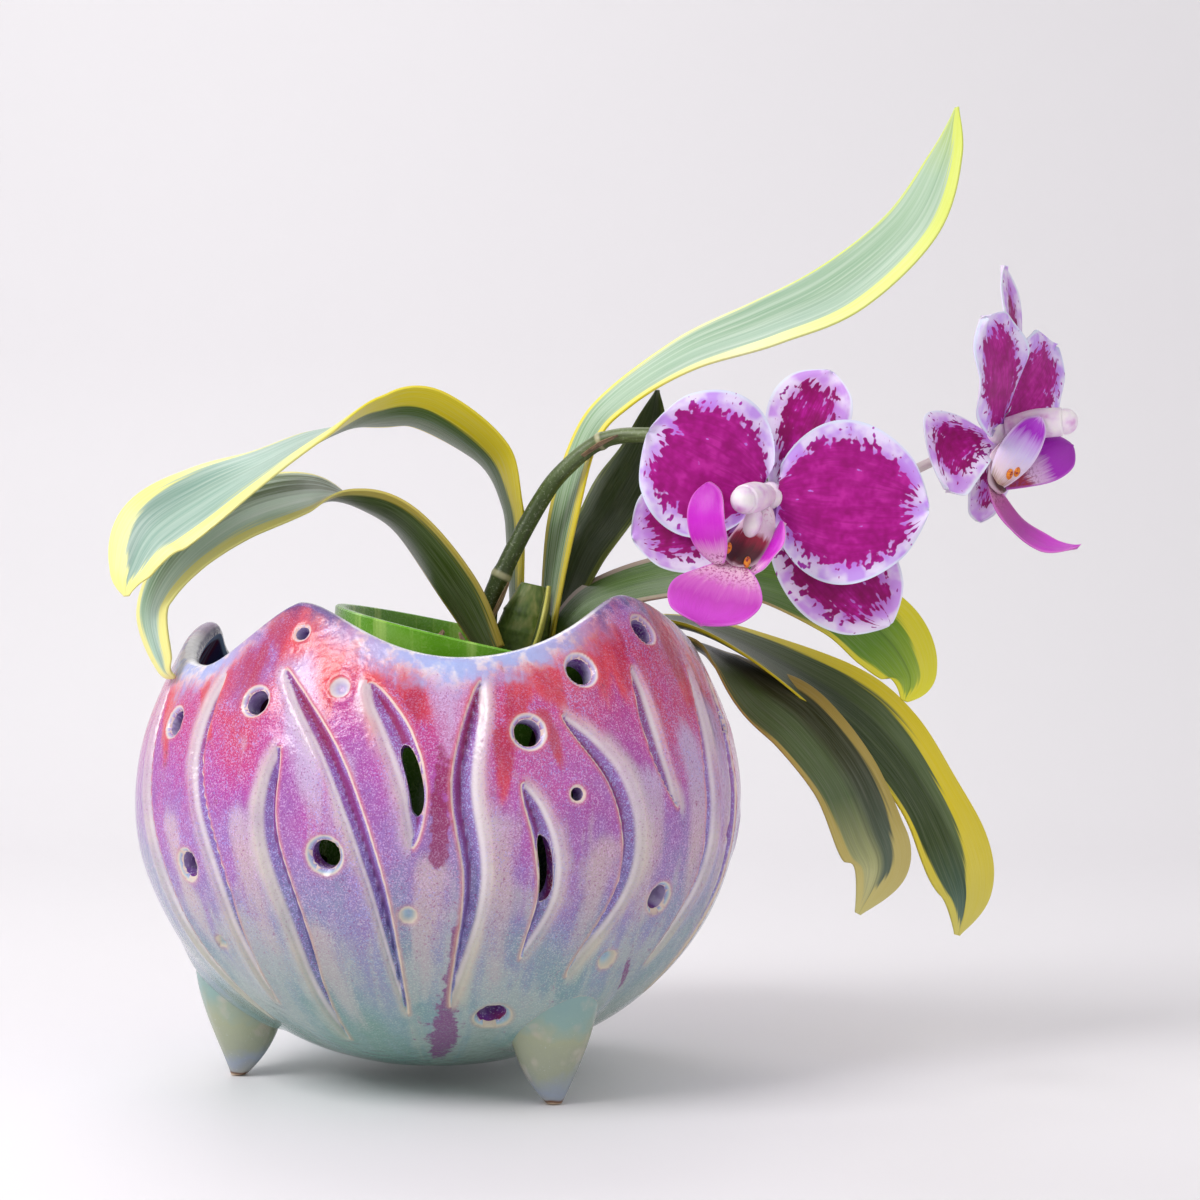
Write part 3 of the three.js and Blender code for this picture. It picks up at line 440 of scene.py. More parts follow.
    # lip: a thin white line of thin glaze and painted highlight, sky blue and white in the dips, navy on the
    # crests
    mottle = noiseAt(place, 210.0, 3.0, 0.6)
    reachDown = below + shake * 9.0 + (mottle - 0.5) * 12.0 + rough * 5.0
    skyColor = blendColor(spread(mottle, 0.44, 0.62), glaze["sky"], glaze["lip"])
    color = blendColor(spread(reachDown, 0.0, 7.5, (1, 0)) * sky * 0.85, color, skyColor)
    navyShare = spread(reachDown, -2.0, 3.0, (1, 0)) * spread(sky, 0.3, 0.6, (0.7, 0))
    color = blendColor(navyShare, color, glaze["navy"])
    edgeLine = below + wobble * 1.2
    # the white line over the top of the lip: thin glaze and painted highlight
    lipLineAndHighlight = spread(edgeLine, -2.0, -1.2, (1, 0)) * spread(sky, 0.2, 0.6, (0.2, 0.95))
    color = blendColor(lipLineAndHighlight, color, glaze["lip"])
    color = blendColor(spread(edgeLine, -5.4, -4.4, (0.9, 0)), color, glaze["lipEdge"])
    # the glaze breaks to cream on the sharp edges, with a warm halo
    offGentle = spread(gentle, 0.1, 0.85, (1, 0.12))
    halo = spread(gap, 0.2, 1.3, (0.6, 0)) * spread(gap, -0.2, 0.1)
    color = blendColor(halo * offGentle, color, ramp(rise, glaze["halo"]))
    line = spread(abs(gap + 0.05), 0.1, 0.4, (1, 0)) * spread(wide, 0.3, 0.6, (0.45, 0.95))
    color = blendColor(line * offGentle, color, ramp(rise, glaze["ridge"]))
    relief = noiseAt(place, 520.0, 2.0, 0.45) + grain["Height"] * 0.16
    return finishMaterial(material, color, relief, 0.00045, 0.55, grain["Pale"] * 0.08 + 0.09)


def insideGlaze():
    material, tree = newMaterial("inside glaze", 0.4, {"Specular IOR Level": 0.0})
    place = objectPlace(tree)
    stops = [(0.3, "#2b3a6b"), (0.45, "#3b2f5e"), (0.58, "#5c2445"), (0.72, "#6f6f95")]
    color = ramp(streaked(place, 80.0, 4.0), stops)
    grain = grains(place, 0.0008, 0.35)
    color = blendColor(grain["Pale"] * 0.4, color, "#9aa0c8")
    color = blendColor(spread(fromMesh(tree, "rimGap"), 0.1, 1.0, (0.6, 0)), color, glaze["sky"])
    return finishMaterial(material, color, grain["Height"], 0.0002, 0.4)


def boreGlaze():
    # walls of the air holes and slots
    material, tree = newMaterial("bore glaze", 0.14)
    place = objectPlace(tree)
    stops = [(0.3, "#8a2a4c"), (0.48, "#7a4aa0"), (0.62, "#b9a8d6"), (0.8, "#d8d4e8")]
    grain = grains(place, 0.0006, 0.45)
    color = blendColor(grain["Pale"] * 0.6, ramp(noiseAt(place, 130.0), stops), "#d9d2ee")
    return finishMaterial(material, color, grain["Height"], 0.0002, 0.4)


def footGlaze():
    material, tree = newMaterial("foot glaze", 0.22)
    place = objectPlace(tree)
    height = partsOf(place)[2]
    shifted = height * 30.0 + (noiseAt(place, 90.0, 3.0, 0.55) - 0.5) * 0.5
    color = ramp(shifted + 0.16, [(0.0, "#9a9c98"), (0.12, "#929cac"), (0.28, "#9aa08c"), (0.46, "#a2a88c"),
                                  (0.64, "#8aa8a2"), (0.84, "#84a4a4"), (1.0, "#94a4ae")])
    patch = noiseAt(place, 150.0)
    color = blendColor(spread(patch, 0.55, 0.72, (0, 0.5)), color, "#c3b8ab")
    grain = grains(place, 0.0007, 0.35)
    color = blendColor(grain["Pale"] * 0.3, color, "#d7dcdd")
    # a brown line, and bare clay below it
    level = height + (patch - 0.5) * 0.002
    color = blendColor(spread(level, -0.0044, -0.0038, (1, 0)), color, "#6d4a33")
    bare = spread(level, -0.005, -0.0044, (1, 0))
    color = blendColor(bare, color, "#cdb79d")
    return finishMaterial(material, color, grain["Height"], 0.0002, 0.4, bare * 0.6 + 0.16)


# Bowl, in millimetres: azimuth 0 faces the viewer, and the origin is the middle of its underside

bowl = {
    "radius": 75, "height": 113.5, "belt": 64.5, "base": 21.4, "mouth": 55, "shoulder": 1.7, "wall": 5,
    "columns": 600, "lowerRows": 72, "upperRows": 58, "lipSteps": 8, "insideRows": 18,
    "wave": [[-95, 6.7], [-55, 16.5], [-31, 1.7], [8, 14], [57, 0],
             [108, 15.5], [140, 6], [168, 15], [200, 6.5], [234, 17.5]],
    "crestSharpness": 0.85,
    # thick glaze: a ridge along each cut, its reach off the edge and into the cut, and slow lumps
    "ridge": 0.35, "ridgeOff": 1.9, "ridgeIn": 0.9, "lumps": 0.35, "lumpSize": 19,
}

carving = {
    "depth": 2.6, "dimpleDepth": 1.2, "shoulder": 0.33, "slotHalfWidth": 1.75, "samples": 160,
    "holeSides": 36, "slotRows": 22,
    # top to tail as [azimuth, rise in % of the height]; half width; where the deepest line lies; slot
    "flutes": [
        ([[-68, 83], [-63, 62], [-57.5, 36], [-50, 12]], 3, 0.3, None),
        ([[-44, 84], [-45.5, 68], [-39, 42], [-38.5, 17]], 2.8, 0.45, None),
        ([[-26, 70], [-27.3, 54], [-23.5, 32], [-24.5, 9]], 3.2, 0.25, None),
        ([[-28, 85], [-15.5, 68], [-7.6, 44], [-4, 16]], 2.8, 0.0, None),
        ([[-10, 82.5], [-4.5, 73], [-1, 62], [-1, 51]], 4, 0.3, (0.4, 0.8)),
        ([[12, 83], [8.5, 64], [10.3, 43], [6.5, 18]], 3.7, -0.45, None),
        ([[18.4, 63.5], [22.5, 52], [23.5, 41], [20, 28]], 3.6, -0.3, (0.3, 0.72)),
        ([[27, 76.5], [37, 63], [39.7, 44], [31, 24]], 3.6, -0.35, None),
        ([[46.6, 85.5], [46.5, 75], [47.5, 66], [50.5, 57]], 3, -0.4, None),
        ([[67.4, 84.5], [62.5, 63], [62, 43], [54, 24]], 3.6, -0.35, None),
        ([[80, 84], [74, 62], [73, 40], [68, 16]], 3.2, 0.2, None),
    ],
    "holes": [
        ([-26.9, 92.3], 1.7), ([-32.9, 78.7], 2.9), ([-56, 73.8], 3), ([-16.1, 49.4], 3.4),
        ([-47.8, 45.4], 3), ([19.7, 73.1], 3.2), ([32.7, 84.9], 3.3), ([27.9, 60.9], 1.5),
        ([55.1, 92.7], 3.2), ([48.5, 38.5], 3), ([16.6, 15.3], 3.4), ([78, 73], 2.4),
    ],
    "dimples": [([-15.3, 81.7], 2.4), ([-1.9, 37.7], 2.1), ([-45.1, 29.5], 1.7), ([39.9, 26.6], 2.5),
                ([71, 50], 1.9)],
}

# Drips as [azimuth, top, azimuth, bottom, half width]
drips = {
    "red": [
        (-62.6, 91, -56.5, 75, 4), (-49, 92, -41.3, 79, 2.4), (-29, 106, -25, 93, 9), (-19, 101, -17, 87, 4.5),
        (-9, 94, -8, 81, 3.6), (-2, 93, 2, 84, 4.4), (11, 92, 10, 82, 2), (19, 93, 16, 78, 3.4),
        (23, 86, 25.5, 75, 2.4), (24, 95, 27, 87, 5), (37, 108, 37, 92, 9), (44, 104, 42, 90, 4),
        (72, 110, 77, 97, 4), (72, 98, 70, 86, 2.4), (64, 106, 61, 84, 5), (15, 82, 14.5, 68, 2.6),
        (96, 97, 94, 80, 4), (118, 96, 120, 74, 3), (141, 102, 140, 88, 6), (150, 90, 152, 62, 2.6),
        (176, 95, 174, 78, 4), (199, 104, 200, 90, 6), (210, 92, 207, 70, 3), (236, 92, 238, 76, 4),
        (252, 100, 250, 84, 4),
    ],
    "plum": [
        (4.4, 86, 3.4, 55, 3), (7.4, 34, 3, 6, 3.4), (5, 18, 4.2, 9, 5), (8.1, 52, 6, 20, 1.8),
        (44.6, 34, 50, 22, 1.2), (128, 40, 126, 16, 3), (222, 44, 220, 18, 2.4),
    ],
    "veil": [
        (-26, 95, -15, 60, 5.5), (-14, 76, -11, 52, 3.5), (5.5, 102, 5, 80, 6), (-52, 60, -48, 30, 4),
        (43, 70, 44, 40, 5), (-33, 62, -30, 34, 4), (2, 52, 1, 24, 4), (14, 62, 15, 26, 3.6),
        (34, 56, 30, 30, 4), (-19, 36, -17, 14, 4), (57, 78, 57, 44, 5), (70, 84, 70, 40, 5),
        (104, 90, 108, 50, 5), (147, 80, 150, 40, 5), (190, 86, 192, 46, 5), (233, 90, 229, 50, 5),
    ],
}

foot = {
    "clearance": 5.2, "ring": 47.5, "radius": 10, "tip": 1.7, "rise": 33, "kick": 2.4, "spread": 1, "swell": 2,
    "azimuths": (-83, 36, 155), "steps": 30, "sides": 40,
}


def addBackCarving():
    # the carving goes on round the back, one flute long and the next short
    for i in range(11):
        azimuth = 97 + 16.8 * i
        top = 70 if i % 2 else 83
        tail = 12 + 6 * (i % 3)
        slotted = (0.3, 0.7) if i % 5 == 2 else None
        bend = (4 if i % 3 else -4) * (0.4 if top - tail < 55 and not slotted else 1)
        route = [[azimuth, top], [azimuth + bend, top - 20], [azimuth - bend, tail + 20], [azimuth, tail]]
        carving["flutes"].append((route, 3 + 0.3 * (i % 3), -0.3 if i % 2 else 0.3, slotted))
        holeAzimuth = 88.6 + 16.8 * i
        carving["holes"].append(([holeAzimuth, 76 if i % 2 else 48], 3.1))
        carving["dimples"].append(([holeAzimuth + 1, 38 if i % 2 else 70], 1.8))


lowerDepth = bowl["belt"] / math.sqrt(1 - (bowl["base"] / bowl["radius"]) ** 2)
upperDepth = (bowl["height"] - bowl["belt"]) / (1 - (bowl["mouth"] / bowl["radius"]) ** bowl["shoulder"]) ** (
    1 / bowl["shoulder"])


def outsideRadius(z):
    z = np.asarray(z, float)
    rise = np.where(z < bowl["belt"], (z - bowl["belt"]) / lowerDepth, (z - bowl["belt"]) / upperDepth)
    power = np.where(z < bowl["belt"], 2.0, bowl["shoulder"])
    return bowl["radius"] * np.maximum(0, 1 - np.abs(rise) ** power) ** (1 / power)


def outlineNormal(z):
    slope = (outsideRadius(z + 0.05) - outsideRadius(z - 0.05)) / 0.1
    length = np.hypot(1, slope)
    return 1 / length, -slope / length


def around(radius, azimuth, z):
    radius, azimuth, z = np.broadcast_arrays(np.asarray(radius, float), azimuth, z)
    return np.stack([radius * np.sin(azimuth), -radius * np.cos(azimuth), z], -1)


def wallPoint(azimuth, z, depth):
    out, up = outlineNormal(z)
    return around(outsideRadius(z) - depth * out, azimuth, z - depth * up)


def wallFrame(azimuth, z):
    # a point of the wall, and the directions out of it, level round it and up it
    out, up = outlineNormal(z)
    return (wallPoint(azimuth, z, 0), around(out, azimuth, up), around(1, azimuth + math.pi / 2, 0 * z),
            around(-up, azimuth, out))


def rimHeight(azimuth):
    # height of the waved rim, and how far it has fallen from crest (0) to dip (1)
    wave = bowl["wave"] + [[bowl["wave"][0][0] + 360, bowl["wave"][0][1]]]
    degrees = wave[0][0] + (np.degrees(azimuth) - wave[0][0]) % 360
    height, fallen = np.zeros_like(degrees), np.zeros_like(degrees)
    for (a, dropA), (b, dropB) in zip(wave, wave[1:]):
        here = (degrees >= a) & (degrees <= b)
        share = np.clip((degrees - a) / (b - a), 0, 1)
        fromCrest = share if dropA < dropB else 1 - share
        fall = (1 - np.cos(np.pi * fromCrest ** bowl["crestSharpness"])) / 2
        crest = min(dropA, dropB)
        height = np.where(here, bowl["height"] - crest - fall * (max(dropA, dropB) - crest), height)
        fallen = np.where(here, fall, fallen)
    return height, fallen


def fluteCourse(route, shares):
    # place, tangent along and tangent across of a flute, at shares of its length
    at = lambda t: smoothRow(route, t)
    azimuth = np.radians(at(shares)[..., 0])
    z = at(shares)[..., 1] / 100 * bowl["height"]
    place, out, level, up = wallFrame(azimuth, z)
    ahead = at(np.minimum(shares + 0.01, 1))
    back = at(np.maximum(shares - 0.01, 0))
    acrossStep = np.radians(ahead[..., 0] - back[..., 0]) * outsideRadius(z)
    alongStep = (ahead[..., 1] - back[..., 1]) / 100 * bowl["height"]
    along = unit(level * acrossStep[..., None] + up * alongStep[..., None])
    side = unit(level * alongStep[..., None] - up * acrossStep[..., None])
    return place, out, along, side


def fluteSwell(share):
    return np.sin(np.pi * (0.03 + 0.94 * np.clip(share, 0, 1)) ** 0.85) ** 0.8


def apartInDegrees(a, b):
    return (a - b + 180) % 360 - 180


def carveWall(points, azimuth, z):
    # depth below the wall, share of a cut's depth, signed distance to its edge, and how gentle its slope is
    depth = np.zeros(len(points))
    gentle = np.ones(len(points))
    carve = np.zeros(len(points))
    edge = np.full(len(points), 9.0)

    def mark(near, cutDepth, cutShare, gap, softness):
        depth[near] = np.maximum(depth[near], cutDepth)
        carve[near] = np.maximum(carve[near], cutShare)
        gentle[near] = np.where(gap < edge[near], softness, gentle[near])
        edge[near] = np.minimum(edge[near], gap)

    degrees = (np.degrees(azimuth) + 180) % 360 - 180
    shares = np.linspace(0, 1, carving["samples"])
    for route, width, lean, _ in carving["flutes"]:
        place, _, along, side = fluteCourse(route, shares)
        middle = np.mean([p[0] for p in route])
        rises = np.array([p[1] for p in route]) / 100 * bowl["height"]
        apart = np.abs(apartInDegrees(degrees, middle))
        near = np.nonzero((apart < 24) & (z > rises.min() - 9) & (z < rises.max() + 9))[0]
        offset = points[near][:, None, :] - place[None]
        nearest = np.argmin((offset ** 2).sum(-1), 1)
        step = offset[np.arange(len(near)), nearest]
        across = -(step * side[nearest]).sum(-1)  # positive to the right of the flute
        forward = (step * along[nearest]).sum(-1)
        length = np.linalg.norm(np.diff(place, axis=0), axis=1).sum()
        share = shares[nearest] + forward / length
        beyond = np.maximum(0, np.maximum(-share, share - 1)) * length
        swell = fluteSwell(share)
        half = np.maximum(width * swell, 0.25)
        ratio = across / half
        inside = 1 - np.abs(ratio - lean) / np.where(ratio > lean, 1 - lean, 1 + lean)
        cutShare = np.clip(inside, 0, 1) ** 0.9 * np.minimum(1, 1.4 * swell) * (beyond < 0.2)
        towards = (ratio - lean) * (-1 if lean < 0 else 1)
        gap = np.hypot(np.maximum(np.abs(across) - half, 0), beyond)
        gap = np.where(gap > 0, gap, np.abs(across) - half)
        soft = easeUp(-towards, -0.12, 0.12)
        shallow = 0.36 * (np.minimum(cutShare, 0.5) / 0.5) ** 1.5 + 1.28 * np.maximum(cutShare - 0.5, 0)
        mark(near, carving["depth"] * (cutShare + (shallow - cutShare) * soft), cutShare, gap, soft)
    for bored, spots in ((True, carving["holes"]), (False, carving["dimples"])):
        for (spotDegrees, rise), radius in spots:
            place = wallPoint(math.radians(spotDegrees), np.float64(rise / 100 * bowl["height"]), 0)
            distance = np.linalg.norm(points - place, axis=1)
            shoulder = carving["shoulder"] * radius
            outer = radius + shoulder if bored else radius
            near = np.nonzero(distance < outer + 6)[0]
            gap = distance[near] - outer
            if bored:
                slope = np.clip((outer - distance[near]) / shoulder, 0, 1)
                mark(near, shoulder * slope ** 1.3, 0.36 * slope, gap, 0.5)
            else:
                share = np.clip(1 - distance[near] / outer, 0, 1)
                bulge = np.sqrt(np.clip(1 - (1 - share) ** 2, 0, 1))
                mark(near, carving["dimpleDepth"] * bulge, 0.3 * share, gap, 0.5)
    return depth, carve, edge, gentle


def dripField(points, azimuth, z, kind, gathers=False):
    # 1 inside the drips of a kind, falling to 0 over their edges: drips thin out at the end, or gather there
    value = np.zeros(len(points))
    for degreesTop, top, degreesEnd, end, half in drips[kind]:
        share = np.clip((top - z) / (top - end), -0.6, 1.6)
        within = np.clip(share, 0, 1)
        apart = apartInDegrees(np.degrees(azimuth), degreesTop + (degreesEnd - degreesTop) * within)
        across = np.abs(np.radians(apart)) * outsideRadius(np.clip(z, 1, 112))
        beyond = np.maximum(0, np.maximum(end - z, z - top))
        distance = np.hypot(across, beyond) / (half * (1 - 0.45 * within))
        strength = easeUp(share, -0.2, 0.7) if gathers else 1 - 0.5 * within ** 3
        value = np.maximum(value, (1 - easeUp(distance, 0.1, 1.9)) * strength)
    return value


def outerHeights(lipEnd):
    # heights of the outer rows at each column: even steps of angle up to the belt, then even steps to the lip
    baseAngle = math.asin(bowl["base"] / bowl["radius"])
    heights = []
    for row in range(bowl["lowerRows"]):
        angle = baseAngle + (math.pi / 2 - baseAngle) * row / bowl["lowerRows"]
        heights.append(np.full(bowl["columns"], bowl["belt"] - lowerDepth * math.cos(angle)))
    for row in range(bowl["upperRows"] + 1):
        heights.append(bowl["belt"] + (lipEnd - bowl["belt"]) * row / bowl["upperRows"])
    return np.array(heights)


def insideRows(heights):
    # heights of the inside rows, from the lip down to the floor
    last = len(heights) - 1
    rows = []
    for share in np.linspace(0, 1, bowl["insideRows"]):
        place = share * last
        low = int(place)
        high = min(low + 1, last)
        rows.append(heights[last - low] * (1 - (place - low)) + heights[last - high] * (place - low))
    return np.array(rows)


def swellToFeet(flat, z):
    # how far the wall swells out towards each foot, as clay luted on and smoothed does
    swell = np.zeros(len(z))
    for degrees in foot["azimuths"]:
        apart = np.linalg.norm(flat[:, :2] - around(foot["ring"] + 3, math.radians(degrees), 0)[:2], axis=1)
        swell = np.maximum(swell, foot["swell"] * np.exp(-(np.maximum(0, apart - 8) / 5) ** 2))
    return swell * (easeUp(z, 3, 9) * (1 - easeUp(z, 24, 38)))


def bowlShell(materials):
    columns, wall, lipSteps = bowl["columns"], bowl["wall"], bowl["lipSteps"]
    azimuth = turns(columns)
    top, fallen = rimHeight(azimuth)
    sky = np.clip(0.05 + 1.15 * fallen, 0, 1)
    lipEnd = top - wall / 2 * (1 - outlineNormal(top)[1])
    heights = outerHeights(lipEnd)
    everywhere = np.broadcast_to(azimuth, heights.shape)
    flat = wallPoint(everywhere, heights, 0).reshape(-1, 3)
    z = heights.reshape(-1)
    azimuths = everywhere.reshape(-1)
    depth, carve, edge, gentle = carveWall(flat, azimuths, z)
    belowRim = np.broadcast_to(lipEnd, heights.shape).reshape(-1) - z
    rootFade = easeUp(belowRim, 0, 4) * easeUp(z, 0, 3)
    offEdge, inCut = np.maximum(edge, 0), np.minimum(edge, 0)
    ridge = bowl["ridge"] * np.exp(-(offEdge / bowl["ridgeOff"]) ** 2) * (edge > -2)
    ridge = ridge * np.exp(-(inCut / bowl["ridgeIn"]) ** 2)
    lumps = np.array([noise.noise(Vector(p) / bowl["lumpSize"]) for p in flat]) * bowl["lumps"]
    outerDepth = (depth - ridge - lumps - swellToFeet(flat, z)) * rootFade
    out, up = outlineNormal(lipEnd)
    lipRows = []
    for step in range(1, lipSteps):
        turn = math.pi * step / lipSteps
        across = wall / 2 * math.cos(turn)
        along = wall / 2 * math.sin(turn)
        lipRows.append(wallPoint(azimuth, lipEnd, wall / 2)
                       + around(out * across - up * along, azimuth, up * across + out * along))
    innerHeights = insideRows(heights)
    rings = np.concatenate([
        wallPoint(everywhere, heights, outerDepth.reshape(heights.shape)), np.array(lipRows),
        wallPoint(np.broadcast_to(azimuth, innerHeights.shape), innerHeights, wall),
    ])
    points, faces = closedLoft(rings)
    piece = makeObject("glazed_bowl", points, faces, materials)
    lipStart = heights.size
    lipStop = lipStart + len(lipRows) * columns
    overLip = -wall / 2 * math.pi * np.arange(1, lipSteps) / lipSteps
    drop = (innerHeights[0][None] - innerHeights).reshape(-1)
    # each field: its value off the outer wall, and its values on it, on the lip and inside
    fields = {
        "carve": (0, carve * rootFade), "edgeGap": (9, edge),
        "rimGap": (40, belowRim, np.repeat(overLip, columns), drop),
        "redDrip": (0, dripField(flat, azimuths, z, "red")),
        "plumDrip": (0, dripField(flat, azimuths, z, "plum", gathers=True)),
        "lipSky": (0, np.tile(sky, len(heights)), np.tile(sky, len(lipRows))),
        "gentle": (0, gentle), "veilDrip": (0, dripField(flat, azimuths, z, "veil")),
    }
    for name, (elsewhere, *parts) in fields.items():
        values = np.full(len(points), float(elsewhere))
        for start, part in zip((0, lipStart, lipStop), parts):
            values[start:start + len(part)] = part
        attribute(piece, name, values)
    finish = np.zeros(len(faces), int)
    finish[(len(heights) - 1 + len(lipRows)) * columns:] = 1
    finish[-2 * columns::2] = 0
    piece.data.polygons.foreach_set("material_index", finish)
    outward(piece)
    return piece


def holeCutter(spot, radius):
    azimuth = math.radians(spot[0])
    place, out, level, up = wallFrame(azimuth, np.float64(spot[1] / 100 * bowl["height"]))
    turn = turns(carving["holeSides"])
    ring = radius * (level[None] * np.cos(turn)[:, None] + up[None] * np.sin(turn)[:, None])
    depths = ((3, 1.0), (0, 1.0), (-2, 0.97), (-bowl["wall"] - 2, 1.06))
    return [place + out * height + ring * flare for height, flare in depths]


def slotCutter(route, width, lean, slot):
    shares = np.linspace(*slot, carving["slotRows"])
    place, out, _, side = fluteCourse(route, shares)
    inner = np.linspace(0, 1, carving["slotRows"])
    half = carving["slotHalfWidth"] * np.sqrt(np.clip(1 - (2 * inner - 1) ** 4, 0.02, 1))
    middle = place - side * (lean * width * fluteSwell(shares))[:, None]
    corners = [(1, 2), (1, -bowl["wall"] - 3), (-1, -bowl["wall"] - 3), (-1, 2)]
    return np.stack([middle + side * (half * share)[:, None] + out * height for share, height in corners], 1)


def footShape(azimuth):
    # a cone with a full belly whose tip is rounded and turns out a little
    rings = []
    for step in range(foot["steps"] + 1):
        share = (step / foot["steps"]) ** 1.4
        radius = foot["tip"] + (foot["radius"] - foot["tip"]) * (1 - (1 - share) ** 3)
        radius += foot["spread"] * math.sin(math.pi * share ** 2)
        place = foot["ring"] + foot["kick"] * (1 - share) ** 6 + 3 * share ** 2
        middle = around(place, azimuth, foot["rise"] * share - foot["clearance"])
        ring = around(radius, turns(foot["sides"]), 0) + middle
        if step == 0:
            rings += [middle + (ring - middle) * 0.5, middle + (ring - middle) * 0.85 + [0, 0, 0.3]]
            ring = ring + [0, 0, 0.9]
        rings.append(ring)
    return rings


def innerPlug():
    # what a foot's cone is cut by, so that it ends inside the wall
    turn = turns(72)
    return [wallPoint(turn, np.full(72, z), bowl["wall"] - 1) for z in np.linspace(0, bowl["belt"], 24)]


def makePot():
    bore, clay = boreGlaze(), footGlaze()
    addBackCarving()
    piece = bowlShell([glazeMaterial(), insideGlaze()])
    for degrees in foot["azimuths"]:
        cone = skin("foot", footShape(math.radians(degrees)), clay)
        cut(cone, skin("plug", innerPlug(), clay))
        cut(piece, cone, "UNION")
    shapes = [holeCutter(spot, radius) for spot, radius in carving["holes"]]
    shapes += [slotCutter(route, width, lean, slot) for route, width, lean, slot in carving["flutes"] if slot]
    for rings in shapes:
        cut(piece, skin("cutter", rings, bore))
    sharpen(piece, 42)
    dress(piece, "pot", "glazed_stoneware", "ceramic_pot")
    print("bowl:", len(piece.data.polygons), "faces")


makePot()


# Plant: everything is measured from the foot of the stem, in millimetres

nursery = {
    "centre": (12.3, 0, 102.956), "turn": (1.5, 12.5, 0), "rim": 39, "base": 28, "height": 94, "wall": 1.4,
    "band": 9, "bandWall": 1.1, "medium": 9, "slots": 12, "slotWidth": 4.2, "slotDepth": 14, "drain": 5,
    "tiers": [(14, 16), (36, 18), (60, 18)], "sides": 128,
}
crown = np.array((18.23, 0.27, 92.73))
nurseryTurn = np.array(Euler([math.radians(a) for a in nursery["turn"]], "XYZ").to_matrix())


def inNursery(points):
    return np.asarray(points) @ nurseryTurn.T + np.array(nursery["centre"])


def bladeFrame(stations, share, toLeft):
    # middle line, tangent, and the directions across and out of the upper face
    rows = np.array([s[:3] for s in stations], float)
    at = lambda t: smoothRow(rows, t)
    tangent = unit(at(np.minimum(share + 0.006, 1)) - at(np.maximum(share - 0.006, 0)))
    near = unit(np.array([0, -1, 0]) + tangent * tangent[:, 1:2])
    upper = np.cross(tangent, near) if toLeft else np.cross(near, tangent)
    shape = smoothRow([s[3:5] for s in stations], share)
    roll = np.radians(shape[:, 1:2])
    side = near * np.cos(roll) - upper * np.sin(roll)
    face = upper * np.cos(roll) + near * np.sin(roll)
    return at(share), side, face, shape[:, 0]


def thinSkin(name, material, share, u, middle, side, face, width, heights, fromMargin):
    # a thin piece over its middle line, with heights of its two faces, and the fields that its finish reads
    across = u[None] * width[:, None]
    rings = [middle[:, None] + side[:, None] * x[..., None] + face[:, None] * height[..., None]
             for x, height in ((across, heights[0]), (across[:, ::-1], heights[1][:, ::-1]))]
    piece = skin(name, np.concatenate(rings, 1), material)
    full = fromMargin.shape
    fields = {"along": np.broadcast_to(share[:, None], full), "across": np.broadcast_to(u[None], full),
              "fromMargin": fromMargin}
    for key, field in fields.items():
        both = np.concatenate([field, field[:, ::-1]], 1).reshape(-1)
        attribute(piece, key, np.append(both, [field[0].mean(), field[-1].mean()]))
    upper = np.concatenate([np.ones(full), np.zeros(full)], 1).reshape(-1)
    attribute(piece, "upper", np.append(upper, [0.5, 0.5]))
    return piece


def blade(name, stations, material, margins, toLeft=False, thickness=1.9, keel=0.14, steps=120, columns=24,
          wave=0.0, curl=0.0):
    share = np.linspace(0, 1, steps + 1)
    middle, side, face, width = bladeFrame(stations, share, toLeft)
    u = np.sin(np.linspace(-1, 1, columns) * math.pi / 2)
    fold = keel * (1 - np.abs(u) ** 1.5)[None] * width[:, None]
    half = (thickness / 2 * (0.32 + 0.68 * (1 - np.abs(u) ** 3))[None]
            * np.minimum(1, 0.35 + width / 8)[:, None])
    ripple = (wave * (u * np.abs(u))[None] * np.sin(share * 19 + 1.3)[:, None]
              * easeUp(share, 0.1, 0.4)[:, None])
    rolled = curl * (np.abs(u) ** 4)[None] * width[:, None] * easeUp(share, 0.3, 0.7)[:, None]
    heights = [sign * half - fold + ripple - rolled for sign in (1, -1)]
    nearWidth, farWidth = (smoothRow([[w] for w in row], share) for row in margins)
    fromMargin = (1 - np.abs(u))[None] * width[:, None] - np.where(u > 0, nearWidth, farWidth)
    return thinSkin(name, material, share, u, middle + crown, side, face, width, heights, fromMargin)


def tissueGroup():
    # long thin streaks along a leaf, petal or sheath that carries along and across
    group, start, end = newGroup("tissue streaks", {"Count": 12.0, "Length": 3.0}, ("Value", "Fine"))
    along, across, upper = fromMesh(group, "along", "across", "upper")
    place = vector(along * start["Length"], across * start["Count"], upper)
    feed(group, end, {"Value": noiseAt(place, 1.0, 2.0, 0.6), "Fine": noiseAt(place, 3.4, 2.0, 0.6)})
    return group


tissueStreaks = tissueGroup()


def tissue(tree, count, length):
    streak = useGroup(tree, tissueStreaks, {"Count": count, "Length": length})
    return streak["Value"], streak["Fine"]


